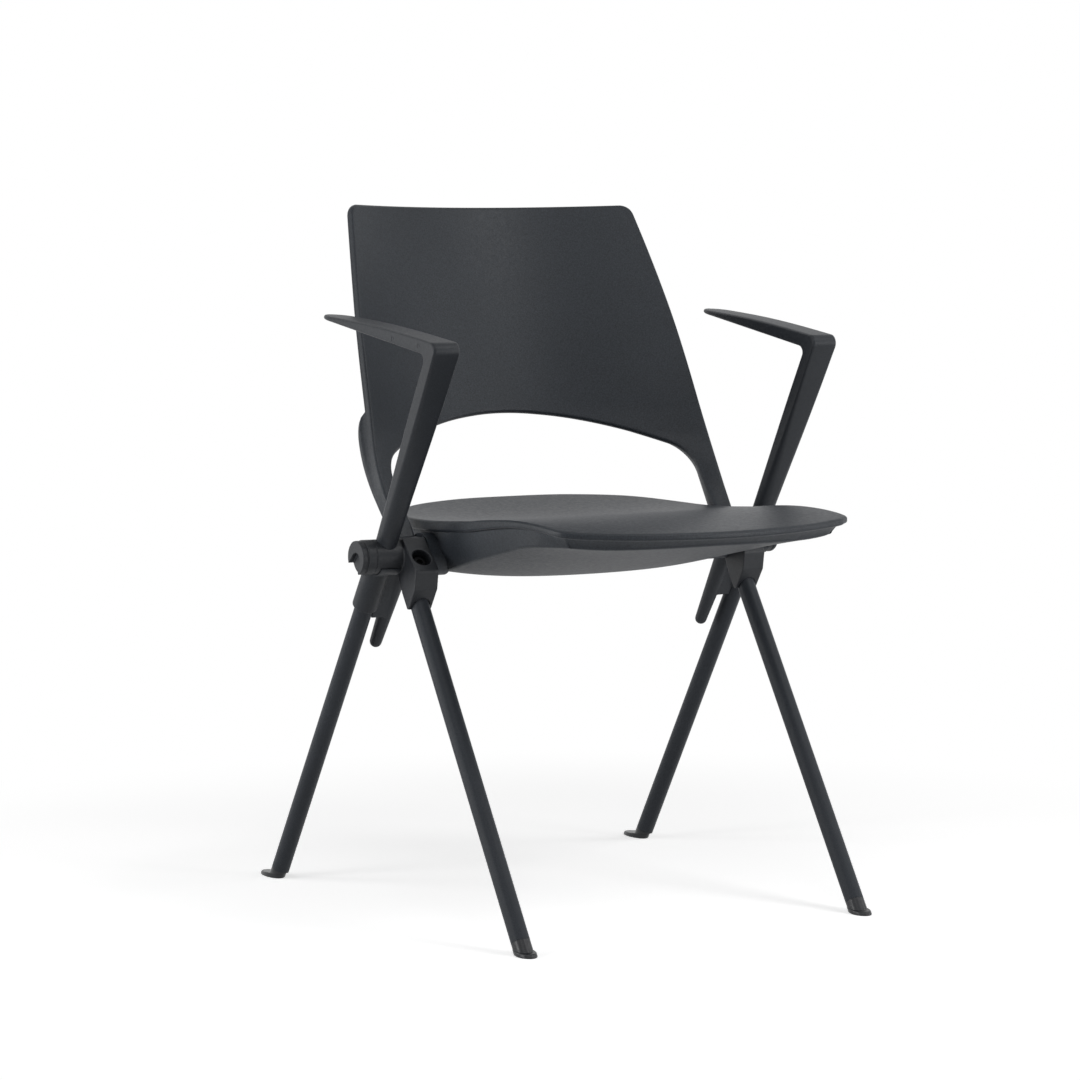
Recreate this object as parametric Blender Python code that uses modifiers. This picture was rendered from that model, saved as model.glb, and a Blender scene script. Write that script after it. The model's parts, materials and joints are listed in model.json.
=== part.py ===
"""Linking armchair: X legs on two hubs, a moulded back and arms, and a seat that tips up about the hubs.

Metres, +Z up. The chair faces -Y and the sitter's left is +X. The origin is on the floor, under the
middle of the chair. Pairs are modelled on the left and mirrored to the right.
"""

import math

import bmesh
import bpy
from mathutils import Euler, Matrix, Vector

# Clearances
CLEAR = 0.0003  # between pieces that touch
RUN_GAP = 0.0005  # between the seat's bushes and the hubs that they turn against
PAST = 0.010  # how far a cutter runs past the face it opens

# Hubs: one casting a side, whose axis runs along X and carries the seat
HUB_Y = 0.0105
HUB_Z = 0.4222
BARREL_R = 0.0204
SEAT_TO_HUB = 0.0096  # from the seat's side to the inner face of the block
BLOCK_WIDTH = 0.030
BARREL_LENGTH = 0.035
BACK_SEAT_STEP = 0.0006  # height of the flat under the back above the barrel
BACK_SEAT_REAR = 0.0345  # from the hub axis back to the end of that flat
BACK_SEAT_LIP = 0.006
BEVEL_TOP_OUT = 0.0140  # from the hub axis forward to the top of the bevel
BEVEL_OUT = 0.0485
BEVEL_DROP = 0.0132  # from the hub axis down to the foot of the bevel
NOSE_R = 0.006
FRONT_FACE_IN = 0.0035  # how far the front face leans back above the tail
FRONT_FACE_DROP = 0.023
TAIL_OUT = 0.0295
TAIL_DROP = 0.0602
TAIL_END_WIDTH = 0.004
TAIL_REAR_OUT = 0.0131
TAIL_REAR_DROP = 0.0423
BOLT_SHARE = 0.6  # place of the leg bolt on the bevel, from its top
BOLT_HEAD_R = 0.0075
BOLT_HEAD_LENGTH = 0.008
BOLT_HEAD_EDGE = 0.0008
BOLT_KEY_DEPTH = 0.004
BOLT_SHANK_R = 0.004
COUNTERBORE_R = 0.0116
COUNTERBORE_DEPTH = 0.016

# Linking hook: a disc on the barrel's end, and on it a plate with an eye that opens to the lower rear
HOOK_DISC = 0.012
HOOK_PLATE = 0.006
HOOK_STEP = 0.0006  # the plate is that much smaller than the disc
HOOK_ROOT = 0.002
HOOK_EYE_R = 0.0110
HOOK_EYE_DROP = 0.0050
HOOK_LOW_END = math.radians(-75)  # counted from the rear, upward
HOOK_TIP = math.radians(-382)
HOOK_EYE_LOW = math.radians(-80)
HOOK_EYE_TIP = math.radians(-322)
CAP_LENGTH = 0.0035
CAP_DOME = 0.0045

# Legs: steel tubes
TUBE_R = 0.011
TUBE_WALL = 0.0015
FRONT_LEAN = math.radians(33.4)  # from the vertical
FRONT_OFFSET = 0.00765  # how far the leg's line passes behind the hub axis
FRONT_END_GAP = 0.0266  # from the hub axis to the leg's upper end
FRONT_SEAM_Z = 0.0139
REAR_OUT = 0.024  # from the block's outer face out to the rear leg, at the floor
REAR_LEAN = math.radians(32.37)
REAR_SPLAY = math.radians(0.71)  # the legs stand a little wider at the floor
REAR_OFFSET = 0.0032
REAR_SEAM_Z = 0.0150
SPIGOT_LENGTH = 0.036

# Feet: moulded glides plugged into the tubes
SOLE_HALF_WIDTH = 0.0118
SOLE_EDGE = 0.0016
FLANGE_EDGE = 0.0012
FRONT_TOE = 0.0290  # from the leg's lower end to the tip of the toe
FRONT_HEEL = 0.0052
FRONT_TOE_HEIGHT = 0.0048
FRONT_HEEL_HEIGHT = 0.0068
REAR_TOE = 0.0489
REAR_HEEL = 0.0007
REAR_TOE_HEIGHT = 0.0042
REAR_HEEL_HEIGHT = 0.0075
FOOT_PLUG = 0.022

# Rear leg sleeve with its stacking tongue
SLEEVE_R = 0.0150
SLEEVE_TOP = 0.006  # from the hub axis, along the leg
SLEEVE_END = 0.0728
WEB_THICKNESS = 0.0115
WEB_END = 0.0874
TONGUE_TOP = 0.012  # from the hub axis, along the leg
TONGUE_TOP_R = 0.0116
TONGUE_R = 0.0073
TONGUE_OUT = 0.0016  # from the front leg out to the tongue
TONGUE_BACK = 0.0033  # how far the tongue lies behind the leg's line
TONGUE_END = 0.1360
LIP_THICKNESS = 0.0016  # band of the sleeve that clasps the barrel from below
LIP_FROM_BLOCK = 0.0014
LIP_FROM_END = 0.0065
LIP_FRONT = math.radians(-142)  # counted from the rear, upward
LIP_REAR = math.radians(-38)

# Arms
ARM_OUT = 0.0172  # from the block's outer face to the middle of the post
ARM_FRONT_IN = 0.0005
ARM_TIP_OUT = 0.0078
ARM_LEAN = math.radians(29.8)
ARM_OFFSET = 0.0020  # how far the post's line passes behind the hub axis
ARM_RISE = 0.2553  # height of the front corner above the hub axis
ARM_PITCH = math.radians(5.2)  # the pad rises to the rear
ARM_LENGTH = 0.2715
ARM_BASE_WIDTH = 0.0235
ARM_BASE_DEPTH = 0.0255
ARM_TOP_WIDTH = 0.034
ARM_TOP_DEPTH = 0.017
PAD_FRONT_THICKNESS = 0.0155
PAD_FRONT_RUN = 0.040  # where that thickness is measured, behind the corner
PAD_TIP_THICKNESS = 0.0035
PAD_CROWN = 0.0022  # rise of the pad's upper face between corner and tip
PAD_TIP_ROUND = 0.032
ARM_OUTER_R = 0.010
ARM_INNER_R = 0.008
ARM_EDGE_R = 0.0035
ARM_HIDDEN_R = 0.0075  # the post's inner rear edge
ARM_SPIGOT_R = 0.006
ARM_SPIGOT_LENGTH = 0.050

# Back: one shell with two uprights
BACK_RISE = 0.4085  # top corners above the hub axis
BACK_PAST_LEG = 0.010  # from the front leg's middle out to the upright's outer side
BACK_NARROWING = 0.0396  # of each side, by a power of the height above the uprights
BACK_TAPER_POWER = 1.6
BACK_TAPER_FROM = 0.078
BACK_BOW = 0.094  # how far the middle lies behind the sides, at the arch
BACK_TOP_BOW = 0.058  # the same at the top
BACK_BOW_FROM = 0.018  # heights above the hub axis between which the bow sets in
BACK_BOW_FULL = 0.128
BACK_DIP = 0.0035
BACK_CORNER_R = 0.014
BACK_EDGE_R = 0.0042
BACK_THICKNESS = 0.0095
EDGE_FROM_Z = 0.185  # height above the hub where the side edge's curve is measured from
EDGE_FROM_Y = 0.0927
EDGE_SLOPE = 0.40
EDGE_SAG = 0.0130  # how far the edge's top lies behind that slope
EDGE_SOFT = 0.010  # softness of the bend from upright to shell
ARCH_RISE = 0.152  # crown of the arch above the hub axis
ARCH_DROP = 0.0475  # from the crown down to the uprights
ARCH_FILLET_R = 0.017
UPRIGHT_WIDTH = 0.0245
UPRIGHT_DEPTH = 0.0245
UPRIGHT_EDGE_R = 0.009
SHOULDER_TOP = 0.172  # where the upright's rear bulge starts, above the hub axis
SHOULDER_LENGTH = 0.040
BACK_SPIGOT_R = 0.0075
BACK_SPIGOT_FROM = 0.016
BACK_SPIGOT_LENGTH = 0.068

# Seat: a shell screwed on a pan, which turns on the cross tube
SEAT_TOP = 0.0458  # ridge above the hub axis
SEAT_THICKNESS = 0.0128
SEAT_END_THICKNESS = 0.0085
SEAT_THIN_FROM = 0.070  # from the hub axis to where the shell begins to thin, both ways
SEAT_THIN_TO = 0.230
SEAT_EDGE_R = 0.0030  # lower edge of the shell
SEAT_ROLL = 0.009  # width of the upper edge's rounding
SEAT_ROLL_DROP = 0.0045
SEAT_HALF_WIDTH = 0.2024
SEAT_FRONT = 0.3355  # from the hub axis
SEAT_REAR = 0.1615
SEAT_FRONT_BOW = 0.040
SEAT_CORNER_X = 0.184
SEAT_FRONT_TAPER = 0.005
SEAT_CORNER_RUN = 0.030  # from the front corner back to where the side turns straight
SEAT_SIDE_RUN = 0.120
RIDGE_Y = -0.0935  # from the hub axis
RIDGE_ROUND = 0.006
SCOOP = 0.0125
SCOOP_SIDE = 0.5  # share of the scoop lost at the sides
SCOOP_LENGTH = 0.130
REAR_LIFT = 0.0150
REAR_LIFT_SIDE = 0.28  # share of the rear's lift lost at the sides
REAR_LIFT_LENGTH = 0.120
FRONT_CREST = 0.0086  # rise of the sides in front of the ridge
FRONT_CREST_MIDDLE = 0.4  # share of it at the middle
FRONT_FALL = 0.0022
PAN_INSET = 0.0055
PAN_WALL = 0.0040
PAN_UPRIGHT = 0.022  # height of the wall's upright part; below it the wall leans inward
PAN_LEAN = 0.58
PAN_BOSS_R = 0.0253  # boss round the bush
PAN_BOSS_GAP = 0.0008
BUSH_SEAT_OUT = 0.0025  # from the pan's side out to the face that the bush's flange sits on
PAN_EDGE = 0.0035
PAN_EDGE_RISE = 0.0025
PAN_RIM = 0.002  # least height of the pan's wall
BELLY_DROP = 0.0325  # lowest point of the pan below the hub axis
BELLY_ROUND = 0.030
BELLY_FRONT_SLOPE = 0.2140
BELLY_REAR_SLOPE = 0.476
BELLY_CROSS_RISE = 0.0085
BELLY_CURL = 0.0070  # further rise of the sides near the hubs
BELLY_CURL_LENGTH = 0.160
BELLY_SIDE_RISE = 0.0185  # further rise of the sides between the hubs and the front
CROSS_TUBE_R = 0.0125
CROSS_TUBE_WALL = 0.0020
CROSS_TUBE_SOCKET = 0.014
BUSH_FLANGE_R = 0.0205
BUSH_R = 0.0165
BUSH_DEPTH = 0.016
TIP_ANGLE = math.radians(85)
STOP_LUG_ANGLE = math.radians(24)
STOP_LUG_LENGTH = 0.0045
STOP_LUG_ROOT = 0.002
STOP_LUG_INNER_R = 0.0152
STOP_LUG_OUTER_R = 0.0184

# Facets
ROUND_STEPS = 24
SMALL_STEPS = 16
SEAT_STEPS = 48
SEAT_FILLS = (0.25, 0.5, 0.7, 0.86)  # rings between the seat's middle and its rim
HIDDEN_FILLS = (0.5, 0.86)  # the same between the shell and the pan

BLOCK_IN = SEAT_HALF_WIDTH + SEAT_TO_HUB
BLOCK_OUT = BLOCK_IN + BLOCK_WIDTH
BARREL_OUT = BLOCK_OUT + BARREL_LENGTH
FRONT_X = BLOCK_IN + BLOCK_WIDTH / 2
REAR_X = BLOCK_OUT + REAR_OUT
TONGUE_X = FRONT_X + TONGUE_OUT
ARM_X = BLOCK_OUT + ARM_OUT
ARM_X_FRONT = ARM_X - ARM_FRONT_IN
ARM_X_TIP = ARM_X + ARM_TIP_OUT
BACK_HALF_WIDTH = FRONT_X + BACK_PAST_LEG
HUB = Vector((0, HUB_Y, HUB_Z))
HUB_TOP = BARREL_R + BACK_SEAT_STEP
PAN_SIDE = SEAT_HALF_WIDTH - PAN_INSET
BUSH_SEAT = PAN_SIDE + BUSH_SEAT_OUT

for old in list(bpy.data.objects):
    bpy.data.objects.remove(old, do_unlink=True)

chair = bpy.data.collections.new("linking_armchair")
cutters = bpy.data.collections.new("cutters")
bpy.context.scene.collection.children.link(chair)
bpy.context.scene.collection.children.link(cutters)
cutters.hide_render = True


# Materials


def finish(name, colour, roughness, metallic=0.0):
    """A Principled material; colour is linear."""
    made = bpy.data.materials.new(name)
    made.use_nodes = True
    shader = made.node_tree.nodes["Principled BSDF"]
    shader.inputs["Base Color"].default_value = (*colour, 1)
    shader.inputs["Roughness"].default_value = roughness
    shader.inputs["Metallic"].default_value = metallic
    return made


SHELL = finish("grained_polypropylene", (0.034, 0.038, 0.043), 0.55)
PAINT = finish("black_paint_on_steel", (0.026, 0.028, 0.031), 0.45)
CASTING = finish("painted_casting", (0.027, 0.029, 0.032), 0.50)
NYLON = finish("black_nylon", (0.024, 0.026, 0.029), 0.42)
GLIDE = finish("glide_plastic", (0.018, 0.019, 0.022), 0.30)
STEEL = finish("zinc_steel", (0.45, 0.46, 0.47), 0.35, 1.0)


# Building helpers


def add(name, mesh, surface, home=chair):
    mesh.materials.clear()
    mesh.materials.append(surface)
    piece = bpy.data.objects.new(name, mesh)
    home.objects.link(piece)
    if home is cutters:
        piece.hide_render = True
        piece.display_type = "WIRE"
    return piece


def smooth(mesh, angle=math.radians(35)):
    mesh.shade_smooth()
    mesh.set_sharp_from_angle(angle=angle)


def skin(name, rings, surface, start="cap", end="cap"):
    """A loft through rings of equal length; each end is a flat cap, a pole (one point) or open."""
    shape = bmesh.new()
    rows = [[shape.verts.new(point) for point in ring] for ring in rings]
    for near, far in zip(rows, rows[1:]):
        for k in range(max(len(near), len(far))):
            corners = [near[k % len(near)], near[(k + 1) % len(near)]]
            corners += [far[(k + 1) % len(far)], far[k % len(far)]]
            shape.faces.new(list(dict.fromkeys(corners)))
    if start == "cap":
        shape.faces.new(rows[0][::-1])
    if end == "cap":
        shape.faces.new(rows[-1])
    bmesh.ops.recalc_face_normals(shape, faces=shape.faces)
    mesh = bpy.data.meshes.new(name)
    shape.to_mesh(mesh)
    shape.free()
    smooth(mesh)
    return add(name, mesh, surface)


def turned(name, profile, surface, steps=ROUND_STEPS, closed=False, home=chair):
    """A turned piece about its own Z; the profile runs down the outer side."""
    mesh = bpy.data.meshes.new(name)
    edges = [(k, k + 1) for k in range(len(profile) - 1)]
    if closed:
        edges.append((len(profile) - 1, 0))
    mesh.from_pydata([(radius, 0, height) for radius, height in profile], edges, [])
    piece = add(name, mesh, surface, home)
    screw = piece.modifiers.new("Turn", "SCREW")
    screw.steps = steps
    screw.render_steps = steps
    screw.use_merge_vertices = True
    screw.merge_threshold = 0.00005
    return settle(piece)


def rod(name, radius, low, high, surface=CASTING, steps=ROUND_STEPS, home=cutters):
    return turned(name, [(0, high), (radius, high), (radius, low), (0, low)], surface, steps, False, home)


def tube(name, outer, inner, low, high, surface, steps=ROUND_STEPS):
    profile = [(outer, high), (outer, low), (inner, low), (inner, high)]
    return turned(name, profile, surface, steps, closed=True)


def plate(name, outline, low, high, surface, home=cutters):
    """A flat outline in (Y, Z), extruded along X from low to high."""
    flat = bpy.data.curves.new(name, "CURVE")
    flat.dimensions = "2D"
    flat.fill_mode = "BOTH"
    flat.extrude = (high - low) / 2
    edge = flat.splines.new("POLY")
    edge.points.add(len(outline) - 1)
    edge.use_cyclic_u = True
    for point, (y, z) in zip(edge.points, outline):
        point.co = (y, z, 0, 1)
    drawn = bpy.data.objects.new(name, flat)
    cutters.objects.link(drawn)
    solid = bpy.data.meshes.new_from_object(drawn.evaluated_get(bpy.context.evaluated_depsgraph_get()))
    bpy.data.objects.remove(drawn)
    shape = bmesh.new()
    shape.from_mesh(solid)
    bmesh.ops.remove_doubles(shape, verts=shape.verts, dist=0.00001)
    bmesh.ops.recalc_face_normals(shape, faces=shape.faces)
    to_side = Matrix(((0, 0, 1), (1, 0, 0), (0, 1, 0))).to_4x4()
    shape.transform(Matrix.Translation(((low + high) / 2, 0, 0)) @ to_side)
    shape.to_mesh(solid)
    shape.free()
    solid.name = name
    return add(name, solid, surface, home)


def settle(piece):
    """Applies the modifiers and shades round faces smooth."""
    bpy.context.view_layer.update()
    graph = bpy.context.evaluated_depsgraph_get()
    mesh = bpy.data.meshes.new_from_object(piece.evaluated_get(graph))
    piece.modifiers.clear()
    piece.data = mesh
    mesh.name = piece.name
    smooth(mesh)
    return piece


def combine(piece, others, operation):
    for other in others:
        step = piece.modifiers.new(other.name, "BOOLEAN")
        step.operation = operation
        step.object = other
    settle(piece)
    for other in others:
        bpy.data.objects.remove(other)
    return piece


def join(piece, *others):
    return combine(piece, others, "UNION")


def cut(piece, *others):
    return combine(piece, others, "DIFFERENCE")


def place(piece, location, rotation=(0, 0, 0)):
    piece.location = location
    piece.rotation_euler = rotation
    return piece


def along_x(piece, start=0.0, y=HUB_Y, z=HUB_Z):
    """Turns a piece made about its own Z to lie along +X, at the hub axis."""
    return place(piece, (start, y, z), (math.pi / 2, 0, math.pi / 2))


def mirrored(piece, name):
    """The right-hand copy of a left-hand piece."""
    flip = Matrix.Scale(-1, 4, (1, 0, 0))
    mesh = piece.data.copy()
    mesh.transform(flip)
    mesh.flip_normals()
    mesh.name = name
    copy = add(name, mesh, piece.data.materials[0])
    bpy.context.view_layer.update()
    copy.matrix_world = flip @ piece.matrix_world @ flip
    return copy


def pair(left):
    """Mirrors NAME_left to NAME_right."""
    return [left, mirrored(left, left.name.replace("_left", "_right"))]


def arc(centre, radius, start, stop, steps):
    """Points on an arc in (Y, Z), the angle counted from +Y towards +Z."""
    angles = [start + (stop - start) * k / steps for k in range(steps + 1)]
    return [(centre[0] + radius * math.cos(a), centre[1] + radius * math.sin(a)) for a in angles]


def corner_arc(before, corner, after, radius, steps):
    """A fillet of the corner between two straight runs, as points in (Y, Z)."""
    corner = Vector(corner)
    inward = (Vector(before) - corner).normalized()
    outward = (Vector(after) - corner).normalized()
    half = inward.angle(outward) / 2
    reach = radius / math.tan(half)
    centre = corner + (inward + outward).normalized() * radius / math.sin(half)
    first = corner + inward * reach - centre
    turn = math.pi - 2 * half
    side = math.copysign(1, inward.x * outward.y - inward.y * outward.x)
    points = []
    for k in range(steps + 1):
        angle = -side * turn * k / steps
        swung = Matrix.Rotation(angle, 2) @ first
        points.append(tuple(centre + swung))
    return points


def rounded_section(centre, across, upward, half_width, half_depth, radii, steps=3):
    """A ring of points on a rectangle spanned by two unit vectors, with a radius for each corner."""
    most = min(half_width, half_depth) * 0.999
    ring = []
    for quarter, asked in enumerate(radii):
        radius = min(asked, most)
        a = (half_width - radius) * (1 if quarter in (0, 3) else -1)
        b = (half_depth - radius) * (1 if quarter in (0, 1) else -1)
        for k in range(steps + 1):
            angle = (quarter + k / steps) * math.pi / 2
            out = across * (a + radius * math.cos(angle))
            ring.append(centre + out + upward * (b + radius * math.sin(angle)))
    return ring


def blend(low, high, value):
    """Smooth step from 0 at low to 1 at high."""
    t = min(max((value - low) / (high - low), 0), 1)
    return t * t * (3 - 2 * t)


def edge_drop(inset, radius):
    """How far a rounded edge has fallen away at a distance from its rim."""
    if inset >= radius:
        return 0.0
    return radius - math.sqrt(radius * radius - (radius - inset) ** 2)


# Lines of the legs and the arm post in the side view


def front_leg_y(z):
    return HUB_Y + FRONT_OFFSET + (z - HUB_Z) * math.tan(FRONT_LEAN)


FRONT_TURN = (-FRONT_LEAN, 0, 0)
FRONT_UP = Euler(FRONT_TURN).to_matrix() @ Vector((0, 0, 1))
FRONT_HEAD = Vector((FRONT_X, front_leg_y(HUB_Z), HUB_Z))
REAR_TURN = (REAR_LEAN, -REAR_SPLAY, 0)
REAR_UP = Euler(REAR_TURN).to_matrix() @ Vector((0, 0, 1))
REAR_RUN = (HUB_Z - REAR_SEAM_Z) / REAR_UP.z  # from the hub axis to the leg's lower end
REAR_HEAD = Vector((REAR_X + REAR_UP.x * REAR_RUN, HUB_Y + REAR_OFFSET, HUB_Z))
REAR_END_GAP = BARREL_R + abs(REAR_OFFSET)
ARM_FOOT = (ARM_X, HUB_Y + ARM_OFFSET, HUB_Z)
ARM_TURN = (ARM_LEAN, 0, 0)


# Hubs


def bevel():
    """Upper and lower end of the block's bevel, in (Y, Z)."""
    return (HUB_Y - BEVEL_TOP_OUT, HUB_Z + HUB_TOP), (HUB_Y - BEVEL_OUT, HUB_Z - BEVEL_DROP)


def block_outline():
    """Side view of the block: flat under the back, bevel, front face, tail and rear edge."""
    top = HUB_Z + HUB_TOP
    bevel_top, bevel_low = bevel()
    face_low = (bevel_low[0] + FRONT_FACE_IN, bevel_low[1] - FRONT_FACE_DROP)
    tip = (HUB_Y - TAIL_OUT, HUB_Z - TAIL_DROP)
    tip_rear = (tip[0] + TAIL_END_WIDTH, tip[1])
    rear_low = (HUB_Y - TAIL_REAR_OUT, HUB_Z - TAIL_REAR_DROP)
    rear_high = (HUB_Y - 0.1 * BARREL_R, HUB_Z - 0.9 * BARREL_R)
    barrel_side = (HUB_Y + 0.94 * BARREL_R, HUB_Z - 0.25 * BARREL_R)
    seat_back = HUB_Y + BACK_SEAT_REAR
    nose = corner_arc(bevel_top, bevel_low, face_low, NOSE_R, 4)
    points = [bevel_top, *nose, face_low, tip, tip_rear, rear_low, rear_high, barrel_side]
    return points + [(seat_back, top - BACK_SEAT_LIP), (seat_back, top)]


def sector(inner, outer, start, stop, steps):
    centre = (HUB_Y, HUB_Z)
    return arc(centre, outer, start, stop, steps) + arc(centre, inner, stop, start, steps)


def bolt_line():
    """Start on the bevel and direction into the block of the bolt that holds a front leg."""
    top, low = (Vector((FRONT_X, *point)) for point in bevel())
    run = (top - low).normalized()
    return top.lerp(low, BOLT_SHARE), Vector((0, run.z, -run.y))


def into(piece, start, direction):
    """Sets a turned piece at a point, with its Z against a direction in the side plane."""
    piece.location = start
    piece.rotation_euler = (math.atan2(direction.y, -direction.z), 0, 0)
    return piece


def make_hub():
    barrel = along_x(rod("barrel", BARREL_R, BLOCK_IN, BARREL_OUT))
    block = plate("block", block_outline(), BLOCK_IN, BLOCK_OUT, CASTING)
    leg_spigot = rod("leg_spigot", TUBE_R - TUBE_WALL - CLEAR, -REAR_END_GAP - SPIGOT_LENGTH, 0)
    place(leg_spigot, REAR_HEAD, REAR_TURN)
    back_spigot = rod("back_spigot", BACK_SPIGOT_R, BACK_SPIGOT_FROM, BACK_SPIGOT_LENGTH, steps=SMALL_STEPS)
    place(back_spigot, FRONT_HEAD, FRONT_TURN)
    arm_spigot = rod("arm_spigot", ARM_SPIGOT_R, 0, ARM_SPIGOT_LENGTH, steps=SMALL_STEPS)
    place(arm_spigot, ARM_FOOT, ARM_TURN)
    lug_start = -math.pi / 2 - STOP_LUG_ANGLE / 2
    lug_shape = sector(STOP_LUG_INNER_R, STOP_LUG_OUTER_R, lug_start, lug_start + STOP_LUG_ANGLE, 4)
    lug = plate("lug", lug_shape, BLOCK_IN - STOP_LUG_LENGTH, BLOCK_IN + STOP_LUG_ROOT, CASTING)
    hub = add("hub_casting_left", barrel.data.copy(), CASTING)
    along_x(hub)
    bpy.data.objects.remove(barrel)
    join(hub, block, leg_spigot, back_spigot, arm_spigot, lug)

    leg_socket = rod("leg_socket", TUBE_R + CLEAR, -TAIL_DROP * 2, -FRONT_END_GAP + CLEAR)
    place(leg_socket, FRONT_HEAD, FRONT_TURN)
    tube_socket = rod("tube_socket", CROSS_TUBE_R + CLEAR, BLOCK_IN - CLEAR, BLOCK_IN + CROSS_TUBE_SOCKET)
    along_x(tube_socket)
    start, inward = bolt_line()
    counterbore = rod("counterbore", COUNTERBORE_R, -COUNTERBORE_DEPTH, PAST)
    into(counterbore, start, inward)
    bolt_hole = rod("bolt_hole", BOLT_SHANK_R + CLEAR, -bolt_reach() - TUBE_R / 2, 0, steps=SMALL_STEPS)
    into(bolt_hole, start, inward)
    return cut(hub, leg_socket, tube_socket, counterbore, bolt_hole)


def bolt_reach():
    """Distance along the bolt from the bevel to where the edge of its end meets the front leg."""
    start, inward = bolt_line()
    offset = start - FRONT_HEAD
    away = abs(offset.y * FRONT_UP.z - offset.z * FRONT_UP.y)
    rate = abs(inward.y * FRONT_UP.z - inward.z * FRONT_UP.y)
    return (away - TUBE_R - BOLT_SHANK_R * abs(inward.dot(FRONT_UP))) / rate


def make_leg_bolt():
    seat = -COUNTERBORE_DEPTH + CLEAR
    head = seat + BOLT_HEAD_LENGTH
    key = BOLT_HEAD_R * 0.5
    floor = head - BOLT_KEY_DEPTH
    profile = [(0, floor), (key, floor), (key, head), (BOLT_HEAD_R - BOLT_HEAD_EDGE, head)]
    profile += [(BOLT_HEAD_R, head - BOLT_HEAD_EDGE), (BOLT_HEAD_R, seat), (BOLT_SHANK_R, seat)]
    profile += [(BOLT_SHANK_R, -bolt_reach() + CLEAR), (0, -bolt_reach() + CLEAR)]
    start, inward = bolt_line()
    return into(turned("front_leg_bolt_left", profile, STEEL, SMALL_STEPS), start, inward)


def make_linking_hook():
    """End of the right-hand barrel: a disc and a plate with an open eye, which ends in a pointed tip."""
    face = -BARREL_OUT - HOOK_DISC
    hook = along_x(rod("linking_hook", BARREL_R, face, -BARREL_OUT - CLEAR, NYLON, home=chair))
    outer = arc((HUB_Y, HUB_Z), BARREL_R - HOOK_STEP, HOOK_LOW_END, HOOK_TIP, 20)
    eye = arc((HUB_Y, HUB_Z - HOOK_EYE_DROP), HOOK_EYE_R, HOOK_EYE_TIP, HOOK_EYE_LOW, 14)
    return join(hook, plate("open_eye", outer + eye, face - HOOK_PLATE, face + HOOK_ROOT, NYLON))


def make_linking_cap():
    """Domed end on the left-hand barrel, which a neighbour's hook takes hold of."""
    profile = []
    for k in range(4):
        angle = math.pi / 2 * k / 4
        profile.append((BARREL_R * math.sin(angle), CAP_LENGTH + CAP_DOME * math.cos(angle)))
    profile += [(BARREL_R, CAP_LENGTH), (BARREL_R, CLEAR), (0, CLEAR)]
    return along_x(turned("linking_cap", profile, NYLON), BARREL_OUT)


# Legs and feet


def make_front_leg():
    low = (FRONT_SEAM_Z - HUB_Z) / FRONT_UP.z
    leg = tube("front_leg_left", TUBE_R, TUBE_R - TUBE_WALL, low, -FRONT_END_GAP, PAINT)
    return place(leg, FRONT_HEAD, FRONT_TURN)


def make_rear_leg():
    leg = tube("rear_leg_left", TUBE_R, TUBE_R - TUBE_WALL, -REAR_RUN, -REAR_END_GAP, PAINT)
    return place(leg, REAR_HEAD, REAR_TURN)


def make_foot(name, x, seam, up, forward, toe, heel, toe_height, heel_height):
    """A glide: a collar that carries on the tube, an oval flange on the floor and a plug in the bore."""
    half = (toe + heel) / 2
    middle = seam.y + forward * (toe - heel) / 2
    side = up.cross(Vector((1, 0, 0)))
    angles = [2 * math.pi * k / ROUND_STEPS for k in range(ROUND_STEPS)]

    def oval(inset):
        ring = []
        for angle in angles:
            along = forward * (half - inset) * math.cos(angle)
            ring.append(Vector((x + (SOLE_HALF_WIDTH - inset) * math.sin(angle), middle + along, 0)))
        return ring

    def raised(points, height):
        """Points of the floor, moved up along the leg."""
        return [point + up * height / up.z for point in points]

    def topped(points, drop):
        """Points of the floor, moved up along the leg to the flange's sloping top."""
        made = []
        for point in points:
            share = (forward * (point.y - middle) / half + 1) / 2
            height = heel_height + (toe_height - heel_height) * share - drop
            made.append(point + up * height / up.z)
        return made

    def collar(radius, height):
        ring = []
        for angle in angles:
            across = Vector((1, 0, 0)) * math.sin(angle)
            ring.append(seam + up * height + (across + side * forward * math.cos(angle)) * radius)
        return ring

    trace = [point - up * point.z / up.z for point in collar(TUBE_R, 0)]
    rings = [oval(SOLE_EDGE), raised(oval(0), SOLE_EDGE), topped(oval(0), FLANGE_EDGE)]
    rings += [topped(oval(FLANGE_EDGE), 0), topped(trace, 0)]
    rings += [collar(TUBE_R, -CLEAR), collar(TUBE_R - TUBE_WALL - CLEAR, -CLEAR)]
    rings.append(collar(TUBE_R - TUBE_WALL - CLEAR, FOOT_PLUG))
    return skin(name, rings, GLIDE)


def make_feet():
    front = Vector((FRONT_X, front_leg_y(FRONT_SEAM_Z), FRONT_SEAM_Z))
    rear = REAR_HEAD - REAR_UP * REAR_RUN
    front_sizes = (FRONT_TOE, FRONT_HEEL, FRONT_TOE_HEIGHT, FRONT_HEEL_HEIGHT)
    rear_sizes = (REAR_TOE, REAR_HEEL, REAR_TOE_HEIGHT, REAR_HEEL_HEIGHT)
    return [
        make_foot("front_foot_left", FRONT_X, front, FRONT_UP, -1, *front_sizes),
        make_foot("rear_foot_left", REAR_X, rear, REAR_UP, 1, *rear_sizes),
    ]


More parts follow.
